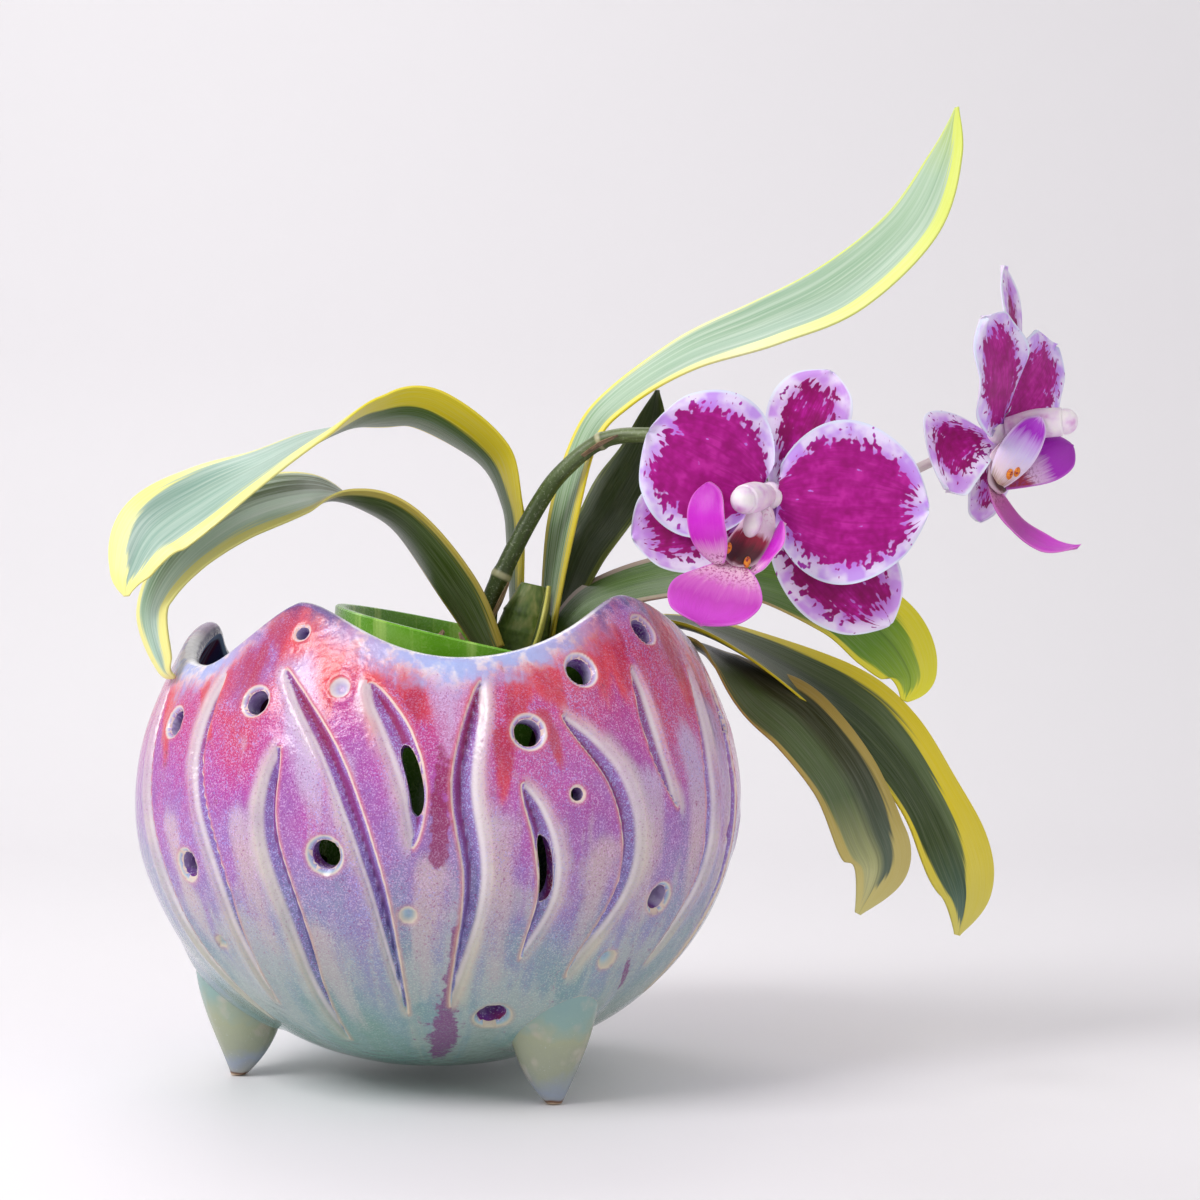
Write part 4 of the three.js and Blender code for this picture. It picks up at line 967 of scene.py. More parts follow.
def leafMaterial(name, look):
    gloss = {"Specular IOR Level": 0.28, "Coat Weight": 0.05, "Coat Roughness": 0.3}
    material, tree = newMaterial(name, 0.34, gloss)
    veined = look.get("veined", 0.5)
    along, across, upper, fromMargin = fromMesh(tree, "along", "across", "upper", "fromMargin")
    streak, fine = tissue(tree, 9.0, 3.0)
    vein = spread(streak, 0.42, 0.62)
    # the far half of the upper face has its own ramp; on the lower left leaf its dark green is painted shade
    top = blendColor(spread(across, -0.25, 0.1), ramp(along, look["far"]), ramp(along, look["near"]))
    top = blendColor(vein * veined, top, look["vein"])
    under = blendColor(vein * 0.3, ramp(along, look["under"]), "#5f7a2e")
    centre = blendColor(spread(upper, 0.4, 0.6), under, top)
    edge = fromMargin + (streak - 0.5) * 5.0
    color = blendColor(spread(edge, -0.5, 0.7), ramp(along, look["margin"]), centre)
    color = blendColor(spread(fine, 0.35, 0.7) * (veined * 0.24), color, "#f2f6e4")
    # the keel shows as a fine darker line
    color = blendColor(spread(abs(across), 0.0, 0.05, (0.35, 0)), color, look["keel"])
    return finishMaterial(material, color, fine, 0.0003, 0.3)


leaves = {
    "leaf_left_lower": {
        "curl": 0.12,
        "stations": [
            [-5, -7, 7, 6, -35], [-13, -8, 22, 9.5, -33], [-26, -9, 39, 11, -22], [-38, -10, 45, 11, -6],
            [-50, -11, 46.5, 11.5, 26], [-66, -14, 42, 12, 37], [-79.5, -20, 31, 11, 40],
            [-86, -25.5, 17.5, 8.5, 35], [-82, -30, 4, 4, 35], [-79.2, -31, 1.2, 1, 35],
        ],
        "margins": ([1.6, 1.6, 2, 2.4, 3, 3, 2.6, 2], [1.5, 1.5, 1.5, 1.2, 1.4, 3, 3, 2]),
        "near": [(0, "#4f6a24"), (0.3, "#86a382"), (0.5, "#aecbb0"), (0.8, "#9cbcaa"), (1, "#6f9086")],
        # the far half is dark green up past its middle: painted shade under the upper left leaf
        "far": [(0, "#3c5214"), (0.45, "#42580f"), (0.6, "#54722a"), (0.85, "#93b5a0"), (1, "#789a8c")],
        "under": [(0, "#3a4f14"), (0.5, "#3f5416"), (1, "#4c641e")],
        "margin": [(0, "#b09a38"), (0.25, "#cdb84c"), (0.5, "#f0e889"), (1, "#ece48a")],
        "vein": "#cfe0d2", "keel": "#4a6a40",
    },
    "leaf_left_upper": {
        "curl": 0.05,
        "stations": [
            [1, 9, 8, 6, -10], [0.5, 10.5, 31, 8, -15], [-0.5, 8, 44, 10, -15], [-6, 4, 56.5, 11, -22],
            [-21, -6, 66.5, 11.5, -22], [-34, -12, 66, 11.5, -11], [-47, -17, 60.5, 12, 11],
            [-60, -22, 53, 12, 27], [-73, -26, 45.5, 12, 45], [-85, -30, 36.5, 11, 56],
            [-89.5, -33, 26, 6, 60], [-90, -34, 20.5, 1.2, 60],
        ],
        "margins": ([1.5, 3.5, 7, 6.5, 4, 3.6, 3.6, 3], [1.5, 1.5, 1.5, 1.2, 1.5, 2.6, 5.5, 5]),
        "near": [(0, "#4f6a24"), (0.4, "#8cac98"), (0.7, "#94b4a4"), (1, "#80a094")],
        "far": [(0, "#4f6a24"), (0.4, "#88a894"), (0.65, "#8fb0a0"), (0.9, "#5c7e74"), (1, "#54746a")],
        "under": [(0, "#3c5618"), (0.3, "#42660c"), (0.55, "#3f5f08"), (1, "#3d5410")],
        "margin": [(0, "#d8c42c"), (0.3, "#f3dc12"), (0.48, "#f3e233"), (0.62, "#f2ec94"), (1, "#f1eb8c")],
        "vein": "#b8ccc0", "keel": "#6f9280",
    },
    "leaf_right_tall": {
        "stations": [
            [8, 2, 8, 6, 15], [12, 3, 38, 8, 27], [18, 5, 60, 9.5, 20], [27, 6, 71, 10.5, 24],
            [44, 7, 82, 11.5, 26], [64, 9, 90, 12.5, 32], [83, 10, 99, 12.5, 41], [101, 12, 115, 10.5, 38],
            [110, 13, 133, 6, 34], [113, 13.5, 145.5, 1.2, 34],
        ],
        "margins": ([2, 2.6, 2.6, 3, 4.5, 5, 3.5, 3], [1.2, 1.4, 1.8, 1.6, 0.8, 0.5, 0.5, 1]),
        "near": [(0, "#4c6b1c"), (0.2, "#5c8a4a"), (0.32, "#84ac84"), (0.6, "#94b49c"), (0.85, "#a2bf9f"),
                 (1, "#b8cc48")],
        "far": [(0, "#4c6b1c"), (0.2, "#6a9a58"), (0.32, "#8cb08c"), (0.6, "#90b294"), (0.85, "#a2c0a0"),
                (1, "#b8cc48")],
        "under": [(0, "#3d5a12"), (0.4, "#44661a"), (1, "#6c8c3a")],
        "margin": [(0, "#cdb626"), (0.2, "#f2da12"), (0.35, "#f3e534"), (0.5, "#f5f2b0"),
                   (0.65, "#e4ea7c"), (1, "#d6e25a")],
        "vein": "#c6d6c4", "keel": "#7ca084",
    },
    "leaf_right_back": {
        "stations": [
            [9, 9, 9, 6, 30], [17, 11, 31, 8, 45], [23.5, 13, 41.5, 9, 48], [30, 15, 53, 8.5, 48],
            [34.5, 16, 64, 5, 48], [36.5, 16.5, 73.5, 1, 48],
        ],
        "margins": ([1, 1, 1, 0.8], [0.8, 0.8, 0.8, 0.6]),
        "near": [(0, "#33461a"), (0.5, "#35421f"), (1, "#2b3a12")],
        "far": [(0, "#2f4214"), (0.5, "#3a4a22"), (1, "#33460f")],
        "under": [(0, "#2f3f14"), (1, "#2f3f14")],
        "margin": [(0, "#6f7a2c"), (0.5, "#6f7838"), (1, "#4c5c1c")],
        "vein": "#4f5f3c", "keel": "#26330f", "veined": 0.2,
    },
    "leaf_right_middle": {
        "stations": [
            [9, -4, 8, 6, 20], [20, -1, 20, 8.5, 28], [44, 0, 26.5, 11, 30], [64, 2, 25.5, 12.5, 34],
            [82, 2, 19.5, 13, 45], [93.5, 0, 10.5, 12, 60], [99, -2, 1, 8, 60], [97.5, -3, -5.5, 1.5, 60],
        ],
        "margins": ([1, 1, 1, 1, 1.5, 2], [1.6, 1.6, 2, 5, 5.5, 3]),
        "near": [(0, "#35520e"), (0.4, "#42660e"), (0.7, "#5f8a1e"), (0.85, "#86a828"), (1, "#a0b830")],
        "far": [(0, "#35520e"), (0.4, "#42660e"), (0.7, "#6f961e"), (0.85, "#98b428"), (1, "#acc430")],
        "under": [(0, "#33500e"), (1, "#3f5f14")],
        "margin": [(0, "#a08a78"), (0.35, "#a88c7c"), (0.6, "#d9d02c"), (1, "#e6e02c")],
        "vein": "#6b8c3a", "keel": "#2f4a10", "veined": 0.2,
    },
    "leaf_right_outer": {
        "curl": 0.04,
        "stations": [
            [8, 9, 5, 6, 0], [24, 14, 14, 8, 0], [42, 18, 14.5, 9, 5], [60, 20, 8.5, 11, 20],
            [84, 21, -4.5, 13, 38], [97, 20, -16, 13, 45], [107, 19, -30.5, 13, 45],
            [113.5, 18, -44.5, 12.5, 50], [116, 17, -56, 9.5, 50], [113.5, 16, -66.5, 1.5, 50],
        ],
        "margins": ([1.2, 1.2, 1.2, 0.6, 0.6, 1, 2.4, 3], [1.5, 1.5, 2, 4.5, 6, 8.5, 10, 8]),
        "near": [(0, "#2f4208"), (0.4, "#263a00"), (0.75, "#2a3e02"), (0.95, "#4c6a5c"), (1, "#5b7a70")],
        "far": [(0, "#33450a"), (0.4, "#3a4c0c"), (0.6, "#52643a"), (0.8, "#5c6e40"), (1, "#54706a")],
        "under": [(0, "#2c3c08"), (1, "#3a4a10")],
        "margin": [(0, "#cbb622"), (0.45, "#e8d21a"), (0.7, "#e9d224"), (0.9, "#d9ca50"), (1, "#d9cd62")],
        "vein": "#5f6f3c", "keel": "#1c2800", "veined": 0.2,
    },
    "leaf_right_front": {
        "curl": 0.02,
        "stations": [
            [8, 3, 2, 6, 0], [25, 9, 11, 8, -5], [44, 14, 9.5, 7.5, -5], [54, 13, 4, 9.5, 20],
            [63, 9, -3.5, 10.5, 42], [73, 5, -11.5, 11.5, 48], [83, 0, -24.5, 12, 50],
            [88.5, -4, -37.5, 11.5, 52], [91, -6, -47, 9.5, 52], [85.5, -7, -58, 1.5, 52],
        ],
        "margins": ([1, 1, 1, 0.9, 1, 1.6, 2.6, 2.4], [1.5, 1.5, 2, 3, 3, 3, 5.5, 6]),
        "near": [(0, "#3c4218"), (0.4, "#4c5a30"), (0.7, "#52643c"), (0.9, "#b8b880"), (1, "#c9bf7c")],
        "far": [(0, "#2e3012"), (0.4, "#35331c"), (0.65, "#30361a"), (0.85, "#465644"), (1, "#52665a")],
        "under": [(0, "#3a3c1c"), (1, "#4a4c24")],
        "margin": [(0, "#a98b3a"), (0.45, "#b8984a"), (0.7, "#b09a4c"), (0.9, "#c3b36a"), (1, "#d0c67a")],
        "vein": "#5c5a48", "keel": "#20240c", "veined": 0.2,
    },
}


sheaths = {
    "leaf_base_front": ([[3, -9, 3, 3, 0], [5.5, -9.6, 9, 5.5, 5], [7.5, -9.8, 16, 5.5, 5],
                         [9, -9.5, 23, 1.5, 5]], 1.9),
    "dried_sheath_1": ([[-18, -13, 4.1, 2, 20], [-18.5, -14.5, 8, 3, 20], [-16.5, -16, 12, 1, 20]], 1),
    "dried_sheath_2": ([[-9.5, -15, 2.5, 2, 0], [-11, -17, 7, 3.2, 0], [-12.5, -18, 11.5, 1, 0]], 1),
    "spike_bract_lower": ([[-5.4, -5.6, 15, 1.8, 0], [-3.3, -5.6, 19.5, 2.2, 0], [-1, -5.6, 24, 0.6, 0]], 1),
    "spike_bract_upper": ([[17.5, -9, 55.5, 1.6, 0], [21.5, -10.6, 58.2, 2, 0], [26, -12.6, 60, 0.6, 0]], 1),
}


def paperMaterial():
    # old sheaths and bracts: dry, ribbed and split
    material, tree = newMaterial("dry sheath", 0.75, {"Sheen Weight": 0.15})
    streak, fine = tissue(tree, 7.0, 2.0)
    color = ramp(streak, [(0.3, "#6f4c33"), (0.5, "#a37f5c"), (0.7, "#cbb08c")])
    patch = noiseAt(objectPlace(tree), 400.0)
    color = blendColor(spread(patch, 0.5, 0.7, (0, 0.5)), color, "#4b3222")
    return finishMaterial(material, color, fine, 0.0005, 0.7)


def makeLeaves():
    for name, leaf in leaves.items():
        finish = leafMaterial(name.replace("_", " "), leaf)
        piece = blade(name + "_blade", leaf["stations"], finish, leaf["margins"], toLeft="left" in name,
                      curl=leaf.get("curl", 0.0), wave=0.5)
        dress(piece, "plant", "leaf_tissue", name)
    green = leaves["leaf_right_back"] | {"margin": [(0, "#c3bd5a"), (1, "#d0c860")],
                                         "near": [(0, "#4c6420"), (1, "#3f5a1c")]}
    finishes = {"leaf_tissue": (leafMaterial("front leaf base", green), 0.14),
                "dried_tissue": (paperMaterial(), 0.35)}
    for name, (stations, thickness) in sheaths.items():
        slot = "leaf_tissue" if name == "leaf_base_front" else "dried_tissue"
        finish, keel = finishes[slot]
        piece = blade(name + "_skin", stations, finish, ([1.4, 1.4], [1.4, 1.4]), thickness=thickness,
                      steps=30, columns=14, keel=keel)
        dress(piece, "plant", slot, name)
    print("leaves made")


makeLeaves()


# Spike, stem and the stalks of the flowers

spike = {
    "route": [
        [-5.5, -1, 4], [-6, -2, 17], [-1, -2, 29.5], [6.5, -2, 43.5], [12.5, -4, 51.5], [22, -7, 58.8],
        [32.5, -12, 60], [44, -16, 58], [57.5, -18, 51], [73, -18, 40], [85.5, -16, 30], [92, -14, 24.5],
    ],
    "radius": (2.4, 1.5), "nodes": (0.155, 0.455, 0.73), "nodeHeight": 0.35, "sides": 24, "steps": 200,
}
stem = {
    "radius": 5.5, "wide": 1.25, "deep": 0.8, "height": 24, "shift": 8, "rows": 40, "sides": 48,
    "ends": 0.8, "belly": 0.35, "lift": 0.3, "scars": (0.12, 0.3, 0.5, 0.7), "scarHeight": 0.3,
    "scarWidth": 0.02,
}
nodeWidth = 0.008


def markTube(piece, share, sides):
    # the fields that a finish with tissue streaks reads
    attribute(piece, "along", np.append(np.repeat(share, sides), [0, 1]))
    attribute(piece, "across", np.append(np.tile(np.abs(turns(sides) / np.pi - 1), len(share)), [0.5, 0.5]))
    attribute(piece, "upper", np.ones(len(share) * sides + 2))


def tube(name, route, radii, material, sides, steps, nodes=(), swell=0.0):
    share = np.linspace(0, 1, steps + 1)
    rows = np.array(route, float) + crown
    middle = smoothRow(rows, share)
    ahead, back = np.minimum(share + 0.004, 1), np.maximum(share - 0.004, 0)
    tangent = unit(smoothRow(rows, ahead) - smoothRow(rows, back))
    across = unit(np.cross(np.array([0.0, 1, 0]), tangent))
    other = np.cross(tangent, across)
    radius = smoothRow([[r] for r in radii], share)[:, 0]
    for node in nodes:
        radius = radius + swell * np.exp(-((share - node) / nodeWidth) ** 2)
    radius[0] *= 0.9
    radius[-1] *= 0.8
    turn = turns(sides)
    rings = middle[:, None] + radius[:, None, None] * (
        across[:, None] * np.cos(turn)[None, :, None] + other[:, None] * np.sin(turn)[None, :, None])
    piece = skin(name, rings, material)
    markTube(piece, share, sides)
    return piece


def spikeMaterial():
    material, tree = newMaterial("flower spike", 0.42)
    along = fromMesh(tree, "along")
    color = ramp(along, [(0, "#33400f"), (0.3, "#3f5218"), (0.42, "#5f6f42"), (0.7, "#76824f"),
                         (1, "#8a8a5a")])
    dots = noiseAt(objectPlace(tree), 1500.0, 2.0, 0.6)
    color = blendColor(spread(dots, 0.55, 0.68, (0, 0.6)), color, "#8f9a78")
    streak, _ = tissue(tree, 5.0, 14.0)
    color = blendColor(spread(streak, 0.45, 0.65, (0, 0.5)), color, "#2a3312")
    for node in spike["nodes"]:
        color = blendColor(spread(abs(along - node), 0.002, 0.008, (0.85, 0)), color, "#b9b48e")
    return finishMaterial(material, color, dots, 0.0002, 0.3)


def stemMaterial():
    material, tree = newMaterial("crown stem", 0.5)
    streak, fine = tissue(tree, 6.0, 4.0)
    color = ramp(streak, [(0.3, "#3f5220"), (0.5, "#5d7430"), (0.7, "#8b8f52")])
    return finishMaterial(material, color, fine, 0.0004, 0.5)


def makeStems():
    piece = tube("spike_stalk", spike["route"], spike["radius"], spikeMaterial(), spike["sides"],
                 spike["steps"], spike["nodes"], spike["nodeHeight"])
    dress(piece, "plant", "stem_tissue", "flower_spike")
    share = np.linspace(0, 1, stem["rows"])
    belly = stem["belly"]
    radius = stem["radius"] * (stem["ends"] + belly * np.sin(math.pi * share) - belly * share)
    for scar in stem["scars"]:
        radius = radius + stem["scarHeight"] * np.exp(-((share - scar) / stem["scarWidth"]) ** 2)
    turn = turns(stem["sides"])
    level = -nursery["medium"] + stem["lift"] + stem["height"] * share
    rings = np.stack([
        stem["shift"] + stem["wide"] * radius[:, None] * np.cos(turn)[None],
        stem["deep"] * radius[:, None] * np.sin(turn)[None],
        np.broadcast_to(level[:, None], (stem["rows"], stem["sides"])),
    ], -1)
    piece = skin("crown_stem_skin", inNursery(rings), stemMaterial())
    markTube(piece, share, stem["sides"])
    dress(piece, "plant", "stem_tissue", "crown_stem")
    print("stems made")


makeStems()


# Flowers: hub from the foot of the stem, the way it faces, and its tepals

petalForm = {"widest": 0.9, "blunt": 0.52, "bow": 2.5, "keel": -0.1, "wave": 0.9}
sepalForm = {"widest": 1.15, "blunt": 0.62, "bow": 1.5, "keel": -0.12, "wave": 0.5, "back": 1.6}
throatForm = {"widest": 1.3, "blunt": 0.4, "bow": -1, "keel": 0.35}
lobeForm = {"widest": 1.1, "blunt": 0.5, "bow": 1, "keel": 0.2}
hubClearance = 2.2
hookShare = 0.25
tipStart = 0.84
petalThickness = 1.1

flowers = {
    "first": {
        "hub": (61.8, -30, 44.4), "facing": (-0.2, -0.97, -0.05),
        "stalk": [[57.5, -18, 51], [58.6, -20.5, 50.5]],
        "lip": [
            throatForm | {"start": (-0.5, -3, -3), "reach": (-8, -6, -14), "width": 5.2,
                          "faces": (-0.3, -0.9, 0.3)},
            lobeForm | {"start": (-8.3, -8.2, -16.3), "reach": (-8.5, -11, -14), "width": 11.5, "widest": 1.35,
                        "keel": -0.15, "faces": (-0.15, -0.7, 0.7)},
            lobeForm | {"start": (-12.2, -8.4, -16.3), "reach": (-2.5, -2, 19), "width": 5, "bow": 3.8,
                        "faces": (-0.5, -0.85, 0)},
            lobeForm | {"start": (-4.8, -9, -18.8), "reach": (7.8, 0.5, 12.2), "width": 4.2, "bow": -1.5,
                        "faces": (-0.97, -0.25, 0.1)},
        ],
        "lobes": ("throat", "mid lobe", "side lobe", "side lobe"),
        "knobs": [(-10.1, -10.4, -12.7), (-5.7, -10.6, -16)],
        "column": [(-0.5, -1.5, 0), (-3.5, -6, -0.6), (-6.3, -10.5, -1.4)], "columnFoot": (-4.2, -6.6, -6.6),
        "tepals": {
            "petal_left": petalForm | {"reach": (-28.6, 1.5, 15.2), "width": 18.2},
            "petal_right": petalForm | {"widest": 0.84, "blunt": 0.6, "reach": (37.7, -3, -3.5),
                                        "width": 19.5},
            "dorsal_sepal": sepalForm | {"widest": 1.5, "reach": (15, 3, 30.3), "width": 10},
            "lateral_sepal_left": sepalForm | {"reach": (-32.5, 5, -10), "width": 12.5},
            "lateral_sepal_right": sepalForm | {"reach": (29, 1, -31), "width": 13.5},
        },
    },
    "second": {
        "hub": (120, -12, 61), "facing": (0.93, -0.34, 0.1),
        "stalk": [[73, -18, 40], [84, -17.5, 43], [95, -15.5, 49.5], [108, -13.5, 56]],
        "lip": [
            throatForm | {"start": (0.5, -1, -3), "reach": (-1.5, -2, -12.5), "width": 4,
                          "faces": (0.7, -0.7, 0.1)},
            lobeForm | {"start": (-3.3, -3, -13.2), "reach": (19.4, -4, -17.3), "width": 4.8, "bow": -3.4,
                        "hook": 3, "keel": -0.15, "faces": (0.45, -0.55, 0.7)},
            lobeForm | {"start": (-2.1, -3, -13.8), "reach": (10.6, -4, 16.8), "width": 4.6,
                        "faces": (0.1, -1, 0.1)},
            lobeForm | {"start": (-0.8, -2, -14), "reach": (18.8, 4, 10.5), "width": 5.5, "widest": 1.7,
                        "faces": (0.2, -0.95, 0.2)},
        ],
        "lobes": ("throat", "narrow lobe", "pale lobe", "violet lobe"),
        "knobs": [(3.0, -5.6, -10.2), (1.2, -5.8, -10.9)],
        "column": [(1, -0.4, 0.5), (8, -2, 1.6), (14.5, -3.6, 2)], "columnFoot": (2, -1.6, -3.6),
        "tepals": {
            "petal_left": petalForm | {"reach": (-7, -20, 25.5), "width": 13.5, "faces": (0.7, -0.7, 0.1)},
            "petal_right": petalForm | {"reach": (16.5, 18, 23), "width": 12.5, "faces": (0.8, -0.6, 0.1)},
            "dorsal_sepal": sepalForm | {"bow": 3.5, "reach": (3, 3, 41), "width": 7.5,
                                         "faces": (0.88, -0.45, 0.1)},
            "lateral_sepal_left": sepalForm | {"reach": (-14, -12, -14.5), "width": 10, "sway": -6.5,
                                               "faces": (0.3, -0.9, 0.2)},
            "lateral_sepal_right": sepalForm | {"reach": (-3.5, 6, -22.5), "width": 6.5,
                                                "faces": (0.5, -0.85, 0)},
        },
    },
}


def tepal(name, flower, shape, material, steps=44, columns=30):
    # a broad cupped blade, whose distance from its outline is kept for its finish
    line = np.array(shape["reach"], float)
    length = np.linalg.norm(line)
    along = line / length
    across = unit(np.cross(np.array(shape.get("faces", flower["facing"]), float), along))
    face = np.cross(along, across)
    start = shape.get("start")
    root = np.array(start, float) if start else along * hubClearance - face * shape.get("back", 0)
    travel = 1.0 if start else 1 - hubClearance / length
    share = 1 - (1 - np.linspace(0, 1, steps + 1)) ** 1.7
    swell = np.sin(np.pi * (0.04 + 0.92 * share) ** shape["widest"]) ** shape["blunt"]
    swell *= np.sqrt(1 - 0.94 * np.clip((share - tipStart) / (1 - tipStart), 0, 1) ** 2.4)
    u = np.sin(np.linspace(-1, 1, columns) * math.pi / 2)
    half = shape["width"] * swell
    thick = petalThickness / 2 * (0.3 + 0.7 * (1 - np.abs(u) ** 3))[None] * np.ones_like(half)[:, None]
    fold = shape.get("keel", 0) * half[:, None] * (1 - np.abs(u) ** 1.5)[None]
    rim = np.maximum(np.abs(u)[None], (np.abs(share * 2 - 1) ** 3)[:, None])
    wave = shape.get("wave", 0.3) * rim ** 3 * np.sin(u[None] * 5 + share[:, None] * 11 + length)
    middle = (np.array(flower["hub"], float) + crown + root)[None] + np.outer(share * travel, line)
    turned = shape.get("hook", 0) * np.clip((share - 1 + hookShare) / hookShare, 0, 1) ** 2
    middle = middle + face * (shape["bow"] * np.sin(np.pi * share) + turned)[:, None]
    middle = middle + across * (shape.get("sway", 0) * np.sin(np.pi * share))[:, None]
    heights = [sign * thick + fold + wave for sign in (1, -1)]
    outline = np.minimum((1 - np.abs(u))[None] * half[:, None], ((1 - share) * length * travel + 0.4)[:, None])
    return thinSkin(name, material, share, u, middle, across[None], face[None], half, heights, outline)


# How light passes through petals and lips, and through a column
throughPetal = {"Subsurface Weight": 0.08, "Subsurface Radius": (0.004, 0.0015, 0.003),
                "Subsurface Scale": 0.4}
throughColumn = {"Subsurface Weight": 0.1, "Subsurface Radius": (0.004, 0.002, 0.003),
                 "Subsurface Scale": 0.4}

# "pale" and "solid" are how far from the margin the magenta starts and closes, in millimetres
petalLooks = {
    "petal": {"pale": 0.0, "solid": 10.5, "density": (-0.24, 1.6), "tip": 0.85, "edge": "#dfe4fa",
              "ground": "#e8dcfa", "violet": "#c99cf0", "deep": "#960670", "rich": "#ac1088",
              "light": "#c0269c", "outer": "#b44cd0"},
    "sepal": {"pale": 0.0, "solid": 8.5, "density": (-0.16, 1.4), "tip": 0.4, "edge": "#e8ecfa",
              "ground": "#eadcf6", "violet": "#cf9cea", "deep": "#860058", "rich": "#9a0270",
              "light": "#b81694", "outer": "#a83cb8"},
}


def petalMaterial(name, look):
    # magenta that breaks up into dashes and dots towards a pale margin
    material, tree = newMaterial(name, 0.5, throughPetal | {"Specular IOR Level": 0.2})
    along, across, margin, upper = fromMesh(tree, "along", "across", "fromMargin", "upper")
    place = objectPlace(tree)
    dots = noiseAt(place, 620.0, 1.0, 0.45)
    broad = noiseAt(place, 186.0)
    # dashes run along the nearest way to the margin: lengthwise near the tip, sideways near the sides
    tipward = spread(abs(across), 0.45, 0.8, (1, 0))
    lengthwise = noiseAt(vector(along * 10.0, across * 13.0, 0.0), 1.0, 1.0, 0.4)
    sideways = noiseAt(vector(along * 26.0, across * 7.0, 5.0), 1.0, 1.0, 0.4)
    dashes = put(tree, "ShaderNodeMix", {0: tipward, 2: sideways, 3: lengthwise}, data_type="FLOAT")
    dash = Field(tree, dashes.outputs[0])
    mixed = (dots * 0.5 + dash * 0.7 + broad * 0.4 - 0.8) * 3.6
    density = spread(margin, look["pale"], look["solid"], look["density"])
    density = density - (spread(along, 0.0, 0.14, (0.2, 0)) + spread(along, look["tip"], 1.0, (0, 0.3)))
    painted = spread(density - mixed, 0.42, 0.62)
    # violet gathers in the pale margin, and a thin white-blue line runs round it
    base = blendColor(spread(broad, 0.4, 0.62), look["ground"], look["violet"])
    base = blendColor(spread(margin, 1.5, 6.0, (0, 0.6)), base, look["outer"])
    base = blendColor(spread(margin, 0.3, 1.0, (0.9, 0)), base, look["edge"])
    core = ramp(dots * 0.4 + broad * 0.6, [(0.36, look["deep"]), (0.5, look["rich"]), (0.64, look["light"])])
    streak, _ = tissue(tree, 16.0, 3.0)
    core = blendColor(spread(streak, 0.42, 0.62, (0, 0.5)), core, look["deep"])
    core = blendColor(spread(margin, 1.0, 4.5, (0.55, 0)), core, look["outer"])
    color = blendColor(painted, base, core)
    back = blendColor(painted * 0.25, "#e6d6f2", core)
    color = blendColor(spread(upper, 0.4, 0.6), back, color)
    return finishMaterial(material, color, streak, 0.0005, 0.25)


lipLooks = {
    "throat": {
        "front": [(0, "#f4e6f0"), (0.4, "#efd6e6"), (0.5, "#a0183c"), (0.7, "#560c20"), (0.9, "#3c0c18"),
                  (1, "#6a1830")],
        "spotted": 0.3, "spot": "#dca8c8", "rim": "#f0d3e2", "rimWidth": 1.2, "back": "#ecc8dc",
    },
    "mid lobe": {
        "front": [(0, "#7a1238"), (0.1, "#e8bcd4"), (0.26, "#dc9ccc"), (0.4, "#cc60be"), (0.6, "#bc36b2"),
                  (0.8, "#c83cc4"), (1, "#c038ba")],
        "spotted": 0.45, "spot": "#a82c80", "rim": "#d460d0", "rimWidth": 0.8, "back": "#cf6ccb",
    },
    "side lobe": {
        "front": [(0, "#f3d6ea"), (0.16, "#eeb0e2"), (0.34, "#d42ccc"), (0.6, "#cc0cca"), (1, "#bc1cb8")],
        "spotted": 0.2, "spot": "#a02c7c", "rim": "#e46ada", "rimWidth": 0.8, "back": "#f0cdea",
    },
    "pale lobe": {
        "front": [(0, "#5c3a2c"), (0.06, "#b08c74"), (0.2, "#e6cfd8"), (0.5, "#dccdf6"), (0.66, "#d0a0ee"),
                  (0.8, "#ae10cc"), (0.93, "#b83cd4"), (1, "#e0b8f0")],
        "spotted": 0.15, "spot": "#b88a8c", "rim": "#ead8f4", "rimWidth": 0.8, "back": "#a41cae",
    },
    "violet lobe": {
        "front": [(0, "#3c1018"), (0.1, "#8c0c30"), (0.3, "#a0143c"), (0.38, "#dcb8dc"), (0.5, "#d4a4da"),
                  (0.62, "#a800bc"), (1, "#9c08ac")],
        "spotted": 0.6, "spot": "#8c2c74", "rim": "#c060cc", "rimWidth": 0.7, "back": "#a41cae",
    },
    "narrow lobe": {
        "front": [(0, "#c99aa8"), (0.2, "#b84a9c"), (0.5, "#ac2ca0"), (0.75, "#c83cc4"), (1, "#b81cb8")],
        "spotted": 0.3, "spot": "#8c1c6c", "rim": "#d878cc", "rimWidth": 0.8, "back": "#c04cb8",
    },
}


def lipMaterial(name, look):
    # one part of the lip, from its foot to its tip, speckled near the foot
    material, tree = newMaterial(name, 0.42, throughPetal)
    along, margin, upper = fromMesh(tree, "along", "fromMargin", "upper")
    streak, fine = tissue(tree, 10.0, 2.0)
    color = ramp(along + (streak - 0.5) * 0.25, look["front"])
    spots = noiseAt(objectPlace(tree), 1500.0, 2.0, 0.6)
    near = spread(along, look["spotted"] * 0.4, look["spotted"], (0.8, 0))
    color = blendColor(spread(spots, 0.5, 0.6) * near, color, look["spot"])
    color = blendColor(spread(margin, 0.0, look["rimWidth"], (0.8, 0)), color, look["rim"])
    color = blendColor(spread(upper, 0.4, 0.6), look["back"], color)
    return finishMaterial(material, color, fine, 0.0004, 0.25)


def columnMaterial():
    material, tree = newMaterial("flower column", 0.4, throughColumn)
    blush = noiseAt(objectPlace(tree), 260.0)
    color = ramp(blush, [(0.35, "#f8f0f2"), (0.55, "#f0dcf0"), (0.72, "#dc9cd8")])
    return finishMaterial(material, color, blush, 0.0002, 0.2)


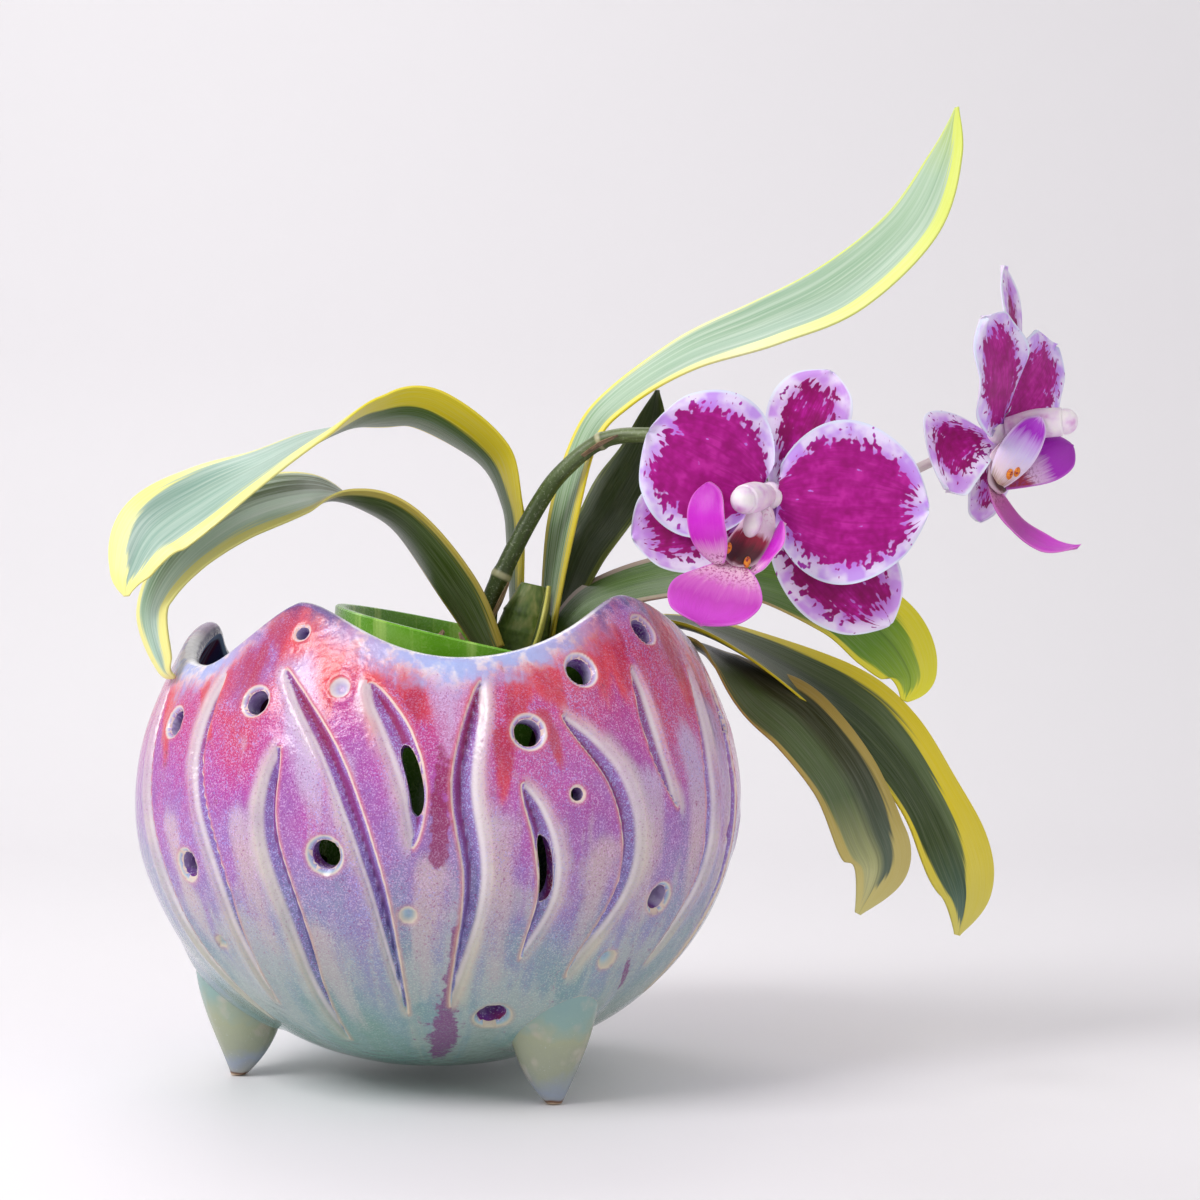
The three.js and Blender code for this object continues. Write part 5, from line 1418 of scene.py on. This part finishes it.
def callusMaterial():
    material, tree = newMaterial("flower callus", 0.35)
    spots = noiseAt(objectPlace(tree), 1400.0)
    color = ramp(spots, [(0.4, "#e8901c"), (0.55, "#d8701a"), (0.62, "#8c1c22")])
    return finishMaterial(material, color, spots, 0.0003, 0.4)


def pedicelMaterial(name):
    material, tree = newMaterial(name, 0.45)
    color = ramp(fromMesh(tree, "along"), [(0, "#9aa884"), (0.4, "#d9cdc8"), (1, "#e6d9e0")])
    streak, fine = tissue(tree, 4.0, 8.0)
    color = blendColor(spread(streak, 0.5, 0.7, (0, 0.4)), color, "#b58aa8")
    return finishMaterial(material, color, fine, 0.0002, 0.3)


def lump(name, middle, radii, direction, material, rings=18, sides=28, groove=0.0):
    # a round lump, longest along its direction, with a shallow groove if one is asked for
    axis = Vector(direction).to_track_quat("Z", "Y").to_matrix()
    turn = turns(sides)
    squeeze = 1 - groove * np.exp(-(np.sin(turn) / 0.35) ** 2) * (np.cos(turn) > 0)
    rows = [np.stack([radii[0] * math.sin(angle) * np.cos(turn) * squeeze,
                      radii[1] * math.sin(angle) * np.sin(turn),
                      np.full(sides, -radii[2] * math.cos(angle))], -1)
            for angle in np.linspace(0.06, math.pi - 0.06, rings)]
    return skin(name, np.array(rows) @ np.array(axis).T + np.array(middle), material)


def joined(name, pieces):
    bpy.ops.object.select_all(action="DESELECT")
    for piece in pieces:
        piece.select_set(True)
    bpy.context.view_layer.objects.active = pieces[0]
    bpy.ops.object.join()
    pieces[0].name = name
    pieces[0].data.name = name
    return pieces[0]


# The middle of each flower: radii of its lumps and tubes, and the ways that two of them point
heart = {
    "knob": (0.8, 0.8, 1.4), "knobWay": (0.2, -0.3, 1), "column": (2.6, 3.6, 3.5), "hub": (3.4, 3.4, 2.6),
    "foot": (2.4, 2.0, 3.8), "footWay": (0.25, 0.2, 1), "anther": (3.0, 3.2, 3.0), "antherAhead": 0.7,
    "antherGroove": 0.1, "pedicel": (1.25, 1.25), "pedicelBehind": (6, 3, 0),
}


def makeFlower(name, flower, petalFinish, lipFinish, column, callus):
    hub = np.array(flower["hub"], float)
    facing = np.array(flower["facing"], float)
    for part, shape in flower["tepals"].items():
        finish = petalFinish["petal" if part.startswith("petal") else "sepal"]
        piece = tepal(name + "_" + part + "_skin", flower, shape, finish)
        dress(piece, "plant", "petal_tissue", name + "_" + part)
    lobes = [tepal("lobe", flower, shape, lipFinish[look])
             for shape, look in zip(flower["lip"], flower["lobes"])]
    for spot in flower["knobs"]:
        middle = np.array(spot) + hub + crown
        lobes.append(lump("knob", middle, heart["knob"], heart["knobWay"], callus, 12, 18))
    dress(joined(name + "_lip_skin", lobes), "plant", "lip_tissue", name + "_lip")
    route = [np.array(point, float) + hub for point in flower["column"]]
    direction = unit(route[-1] - route[-2])
    footPlace = np.array(flower["columnFoot"]) + hub + crown
    parts = [tube("column", route, heart["column"], column, 28, 36),
             lump("hub", hub + crown - facing, heart["hub"], facing, column),
             lump("foot", footPlace, heart["foot"], heart["footWay"], column)]
    dress(joined(name + "_column_skin", parts), "plant", "column_tissue", name + "_column")
    antherPlace = route[-1] + direction * heart["antherAhead"] + crown
    piece = lump(name + "_anther_skin", antherPlace, heart["anther"], direction, column,
                 groove=heart["antherGroove"])
    dress(piece, "plant", "column_tissue", name + "_anther_cap")
    toHub = [hub - facing * back for back in heart["pedicelBehind"]]
    piece = tube(name + "_pedicel_skin", flower["stalk"] + toHub, heart["pedicel"],
                 pedicelMaterial(name + " pedicel"), 16, 60)
    dress(piece, "plant", "stem_tissue", name + "_pedicel")


def makeFlowers():
    petalFinish = {name: petalMaterial("speckled " + name, look) for name, look in petalLooks.items()}
    lipFinish = {name: lipMaterial("flower " + name, look) for name, look in lipLooks.items()}
    column, callus = columnMaterial(), callusMaterial()
    for name, flower in flowers.items():
        makeFlower(name, flower, petalFinish, lipFinish, column, callus)
    print("flowers made")


makeFlowers()


# Nursery pot: moulded green plastic with three tiers of slots, made by a node tree

def nurseryRadius(drop):
    return nursery["rim"] + (nursery["base"] - nursery["rim"]) * drop / nursery["height"]


def plasticMaterial():
    material, tree = newMaterial("green nursery plastic", 0.28)
    place = objectPlace(tree)
    cloud = noiseAt(place, 60.0)
    color = ramp(cloud, [(0.3, "#5f9e20"), (0.5, "#6eae2c"), (0.7, "#88be4a")])
    color = blendColor(spread(streaked(place, 120.0, 30.0), 0.5, 0.66, (0, 0.6)), color, "#c4e67c")
    # the wall is darker below the band: painted shade of the pot's inside, and dark bark seen through the thin
    # plastic
    axis = tuple(nurseryTurn[:, 2])
    dot = put(tree, "ShaderNodeVectorMath", {0: place, 1: axis}, operation="DOT_PRODUCT")
    bandEnd = float(np.dot(nursery["centre"], axis) - nursery["band"]) * mm
    alongAxis = Field(tree, dot.outputs["Value"])
    color = blendColor(spread(alongAxis, bandEnd - 0.0012, bandEnd, (0.72, 0)), color, "#33571a")
    scuff = noiseAt(place, 600.0, 2.0, 0.6, 2.0)
    color = blendColor(spread(scuff, 0.56, 0.7, (0, 0.3)), color, "#a8cf6a")
    return finishMaterial(material, color, cloud, 0.0001, 0.2, spread(scuff, 0.4, 0.7, (0.2, 0.45)))


def slotTree():
    # a ring of boxes round the pot's axis, from named sizes
    tree = bpy.data.node_groups.new("slot ring", "GeometryNodeTree")
    kinds = {"Count": "Int", "Radius": "Float", "Width": "Float", "Depth": "Float", "Height": "Float",
             "Level": "Float", "Material": "Material"}
    for key, kind in kinds.items():
        tree.interface.new_socket(name=key, in_out="INPUT", socket_type="NodeSocket" + kind)
    tree.interface.new_socket(name="Geometry", in_out="OUTPUT", socket_type="NodeSocketGeometry")
    start = tree.nodes.new("NodeGroupInput").outputs

    def step(kind, inputs, **settings):
        return put(tree, kind, inputs, **settings).outputs[0]

    ring = step("GeometryNodeMeshCircle", {"Vertices": start["Count"], "Radius": start["Radius"]})
    lift = step("ShaderNodeCombineXYZ", {2: start["Level"]})
    raised = step("GeometryNodeSetPosition", {"Geometry": ring, "Offset": lift})
    place = step("GeometryNodeInputPosition", {})
    flat = step("ShaderNodeVectorMath", {0: place, 1: (1, 1, 0)}, operation="MULTIPLY")
    turned = step("FunctionNodeAlignEulerToVector", {"Vector": flat}, axis="Y")
    size = step("ShaderNodeCombineXYZ", {0: start["Width"], 1: start["Depth"], 2: start["Height"]})
    box = step("GeometryNodeMeshCube", {"Size": size})
    copies = step("GeometryNodeInstanceOnPoints", {"Points": raised, "Instance": box, "Rotation": turned})
    real = step("GeometryNodeRealizeInstances", {0: copies})
    done = step("GeometryNodeSetMaterial", {"Geometry": real, "Material": start["Material"]})
    feed(tree, tree.nodes.new("NodeGroupOutput"), {"Geometry": done})
    return tree


def slotRing(tree, inputs):
    tool = makeObject("slots", [(0, 0, 0)], [], [inputs["Material"]])
    step = tool.modifiers.new("slots", "NODES")
    step.node_group = tree
    for item in tree.interface.items_tree:
        if item.in_out == "INPUT":
            step[item.identifier] = inputs[item.name]
    applied(tool)
    return tool


def makeNursery():
    plastic = plasticMaterial()
    rim, base, wall, height, band = (nursery[key] for key in ("rim", "base", "wall", "height", "band"))
    under = nurseryRadius(band)
    inner = wall + nursery["bandWall"]
    outline = [
        (0.5, -height), (base - 0.8, -height), (base, -height + 0.8),
        (under - nursery["bandWall"], -band - 0.3), (under - 0.2, -band), (under, -band + 0.3),
        (rim - 0.1, -1.2), (rim, -0.4), (rim - 0.4, 0), (rim - inner + 0.4, 0), (rim - inner, -0.5),
        (under - inner, -band), (base - wall, -height + wall), (0.5, -height + wall),
    ]
    piece = skin("nursery_shell", [circle(radius, z, nursery["sides"]) for radius, z in outline], plastic)
    tree = slotTree()
    for drop, tall in nursery["tiers"]:
        middle = drop + tall / 2
        cut(piece, slotRing(tree, {
            "Count": nursery["slots"], "Radius": nurseryRadius(middle) * mm,
            "Width": nursery["slotWidth"] * mm, "Depth": nursery["slotDepth"] * mm, "Height": tall * mm,
            "Level": -middle * mm, "Material": plastic}))
    drain = [circle(nursery["drain"], -height + z, nursery["sides"]) for z in (-3, 3)]
    cut(piece, skin("drain", drain, plastic))
    move = np.eye(4)
    move[:3, :3] = nurseryTurn
    move[:3, 3] = np.array(nursery["centre"]) * mm
    piece.data.transform(Matrix(move.tolist()))
    sharpen(piece, 35)
    dress(piece, "plant", "nursery_plastic", "nursery_pot")
    print("nursery pot made")


makeNursery()


# Bark: a new medium in place of the imported one, and chips lying on it

bark = {"gap": 0.6, "floorGap": 0.3, "sides": 96, "topRows": 26, "bumps": 0.9, "bumpSize": 3.2, "sink": 0.7}
# each chip: its place, how far it is turned, and its length
chips = [(-23.5, -9, 20, 11), (-20, 9, -40, 10), (-3, 21, 5, 12), (24, -14, 60, 10), (25, 12, -20, 11)]
chipForm = {
    "width": 0.3, "half": 1.5, "lift": 1.9, "rows": 22, "sides": 26, "rough": 0.22, "grain": 0.45,
    "corner": 0.6, "pinch": 0.7, "end": 0.12,
}


def barkMaterial(name, colors, scale):
    material, tree = newMaterial(name, 0.85)
    place = objectPlace(tree)
    grain = noiseAt(place, scale, 4.0, 0.65, 0.6)
    moss = spread(noiseAt(place, scale * 0.35), 0.58, 0.7, (0, 0.7))
    return finishMaterial(material, blendColor(moss, ramp(grain, colors), "#5f7a34"), grain, 0.001, 0.8)


def makeMedium():
    finish = barkMaterial("packed bark", [(0.3, "#2b1d14"), (0.5, "#54392a"), (0.7, "#8a6648")], 300.0)
    top = nurseryRadius(nursery["medium"]) - (nursery["wall"] + nursery["bandWall"] + bark["gap"])
    low = nursery["base"] - nursery["wall"] - bark["gap"]
    floor = -nursery["height"] + nursery["wall"] + bark["floorGap"]
    outline = [(low * share, floor) for share in np.linspace(0.05, 1, 4)]
    outline += [(low + (top - low) * share, floor + (-floor - nursery["medium"]) * share)
                for share in (0.25, 0.5, 0.75)]
    smoothRows = len(outline) + 1
    outline += [(top * share, -nursery["medium"]) for share in np.linspace(1, 0.02, bark["topRows"])]
    rings = [circle(radius, z, bark["sides"]) for radius, z in outline]
    for ring in rings[smoothRows:]:
        ring[:, 2] += [bark["bumps"] * noise.noise(Vector((x / bark["bumpSize"], y / bark["bumpSize"], 4)))
                       - bark["sink"] for x, y, _ in ring]
    dress(skin("packed_bark", inNursery(rings), finish), "plant", "bark", "bark_medium")


def chipRings(number, x, y, degrees, length):
    # a flat splinter with rounded corners, roughened by noise and laid on the medium
    turn = turns(chipForm["sides"])
    across, up = (np.sign(side) * np.abs(side) ** chipForm["corner"] for side in (np.cos(turn), np.sin(turn)))
    rows = []
    for angle in np.linspace(chipForm["end"], math.pi - chipForm["end"], chipForm["rows"]):
        pinch = math.sin(angle) ** chipForm["pinch"]
        row = np.stack([np.full(len(turn), -length / 2 * math.cos(angle)),
                        length * chipForm["width"] * pinch * across, chipForm["half"] * pinch * up], -1)
        shift = Vector((number * 7, 0, 0))
        row[:, 1:] *= [[1 + chipForm["rough"] * noise.noise(Vector(p) * chipForm["grain"] + shift)]
                       for p in row]
        rows.append(row)
    spin = np.array(Matrix.Rotation(math.radians(degrees), 3, "Z"))
    return inNursery(np.array(rows) @ spin.T + [x, y, chipForm["lift"] - nursery["medium"]])


def makeChips():
    finish = barkMaterial("bark chip", [(0.3, "#3a281b"), (0.5, "#7a583c"), (0.7, "#b0906a")], 420.0)
    for number, chip in enumerate(chips, 1):
        dress(skin(f"chip_{number}", chipRings(number, *chip), finish), "plant", "bark", f"bark_chip_{number}")


makeMedium()
makeChips()
print("bark made")


# Stage and light

stage = {"floor": "#f4f1f4", "front": -900, "bend": 500, "bendRadius": 260, "top": 1300, "halfWidth": 1600}
lamps = {  # place, target, size and power
    "key": ((-0.55, -0.45, 0.7), (0, 0, 0.08), 0.45, 6),
    "fill": ((0.8, -0.6, 0.45), (0, 0, 0.1), 0.8, 1.5),
    "back": ((-0.2, 0.7, 0.9), (0, 0, 0.1), 0.6, 3),
}


def makeStage():
    # a floor that bends up into a backdrop
    material, tree = newMaterial("pale floor", 0.55)
    feed(tree, tree.nodes["Principled BSDF"], {"Base Color": stage["floor"]})
    bend = np.linspace(0, np.pi / 2, 16)[1:]
    depth = np.concatenate([np.linspace(stage["front"], stage["bend"], 20),
                            stage["bend"] + stage["bendRadius"] * np.sin(bend)])
    rise = np.concatenate([np.zeros(20), stage["bendRadius"] * (1 - np.cos(bend))])
    places = [*zip(depth, rise), (depth[-1], stage["top"])]
    rows = [[[x, y, z - foot["clearance"]] for x in (-stage["halfWidth"], stage["halfWidth"])]
            for y, z in places]
    piece = makeObject("backdrop", np.array(rows).reshape(-1, 3), quads(len(rows), 2, wrap=False), [material])
    piece.data.shade_smooth()


def makeLight():
    for name, (place, target, size, power) in lamps.items():
        light = bpy.data.lights.new(name, "AREA")
        light.size = size
        light.energy = power
        holder = bpy.data.objects.new(name, light)
        holder.location = place
        holder.rotation_euler = (Vector(target) - Vector(place)).to_track_quat("-Z", "Y").to_euler()
        scene.collection.objects.link(holder)
    world = bpy.data.worlds.new("studio")
    world.use_nodes = True
    feed(world.node_tree, world.node_tree.nodes["Background"], {"Color": (1, 1, 1, 1), "Strength": 0.5})
    scene.world = world
    scene.view_settings.view_transform = "Standard"


makeStage()
makeLight()
print("stage and light placed")
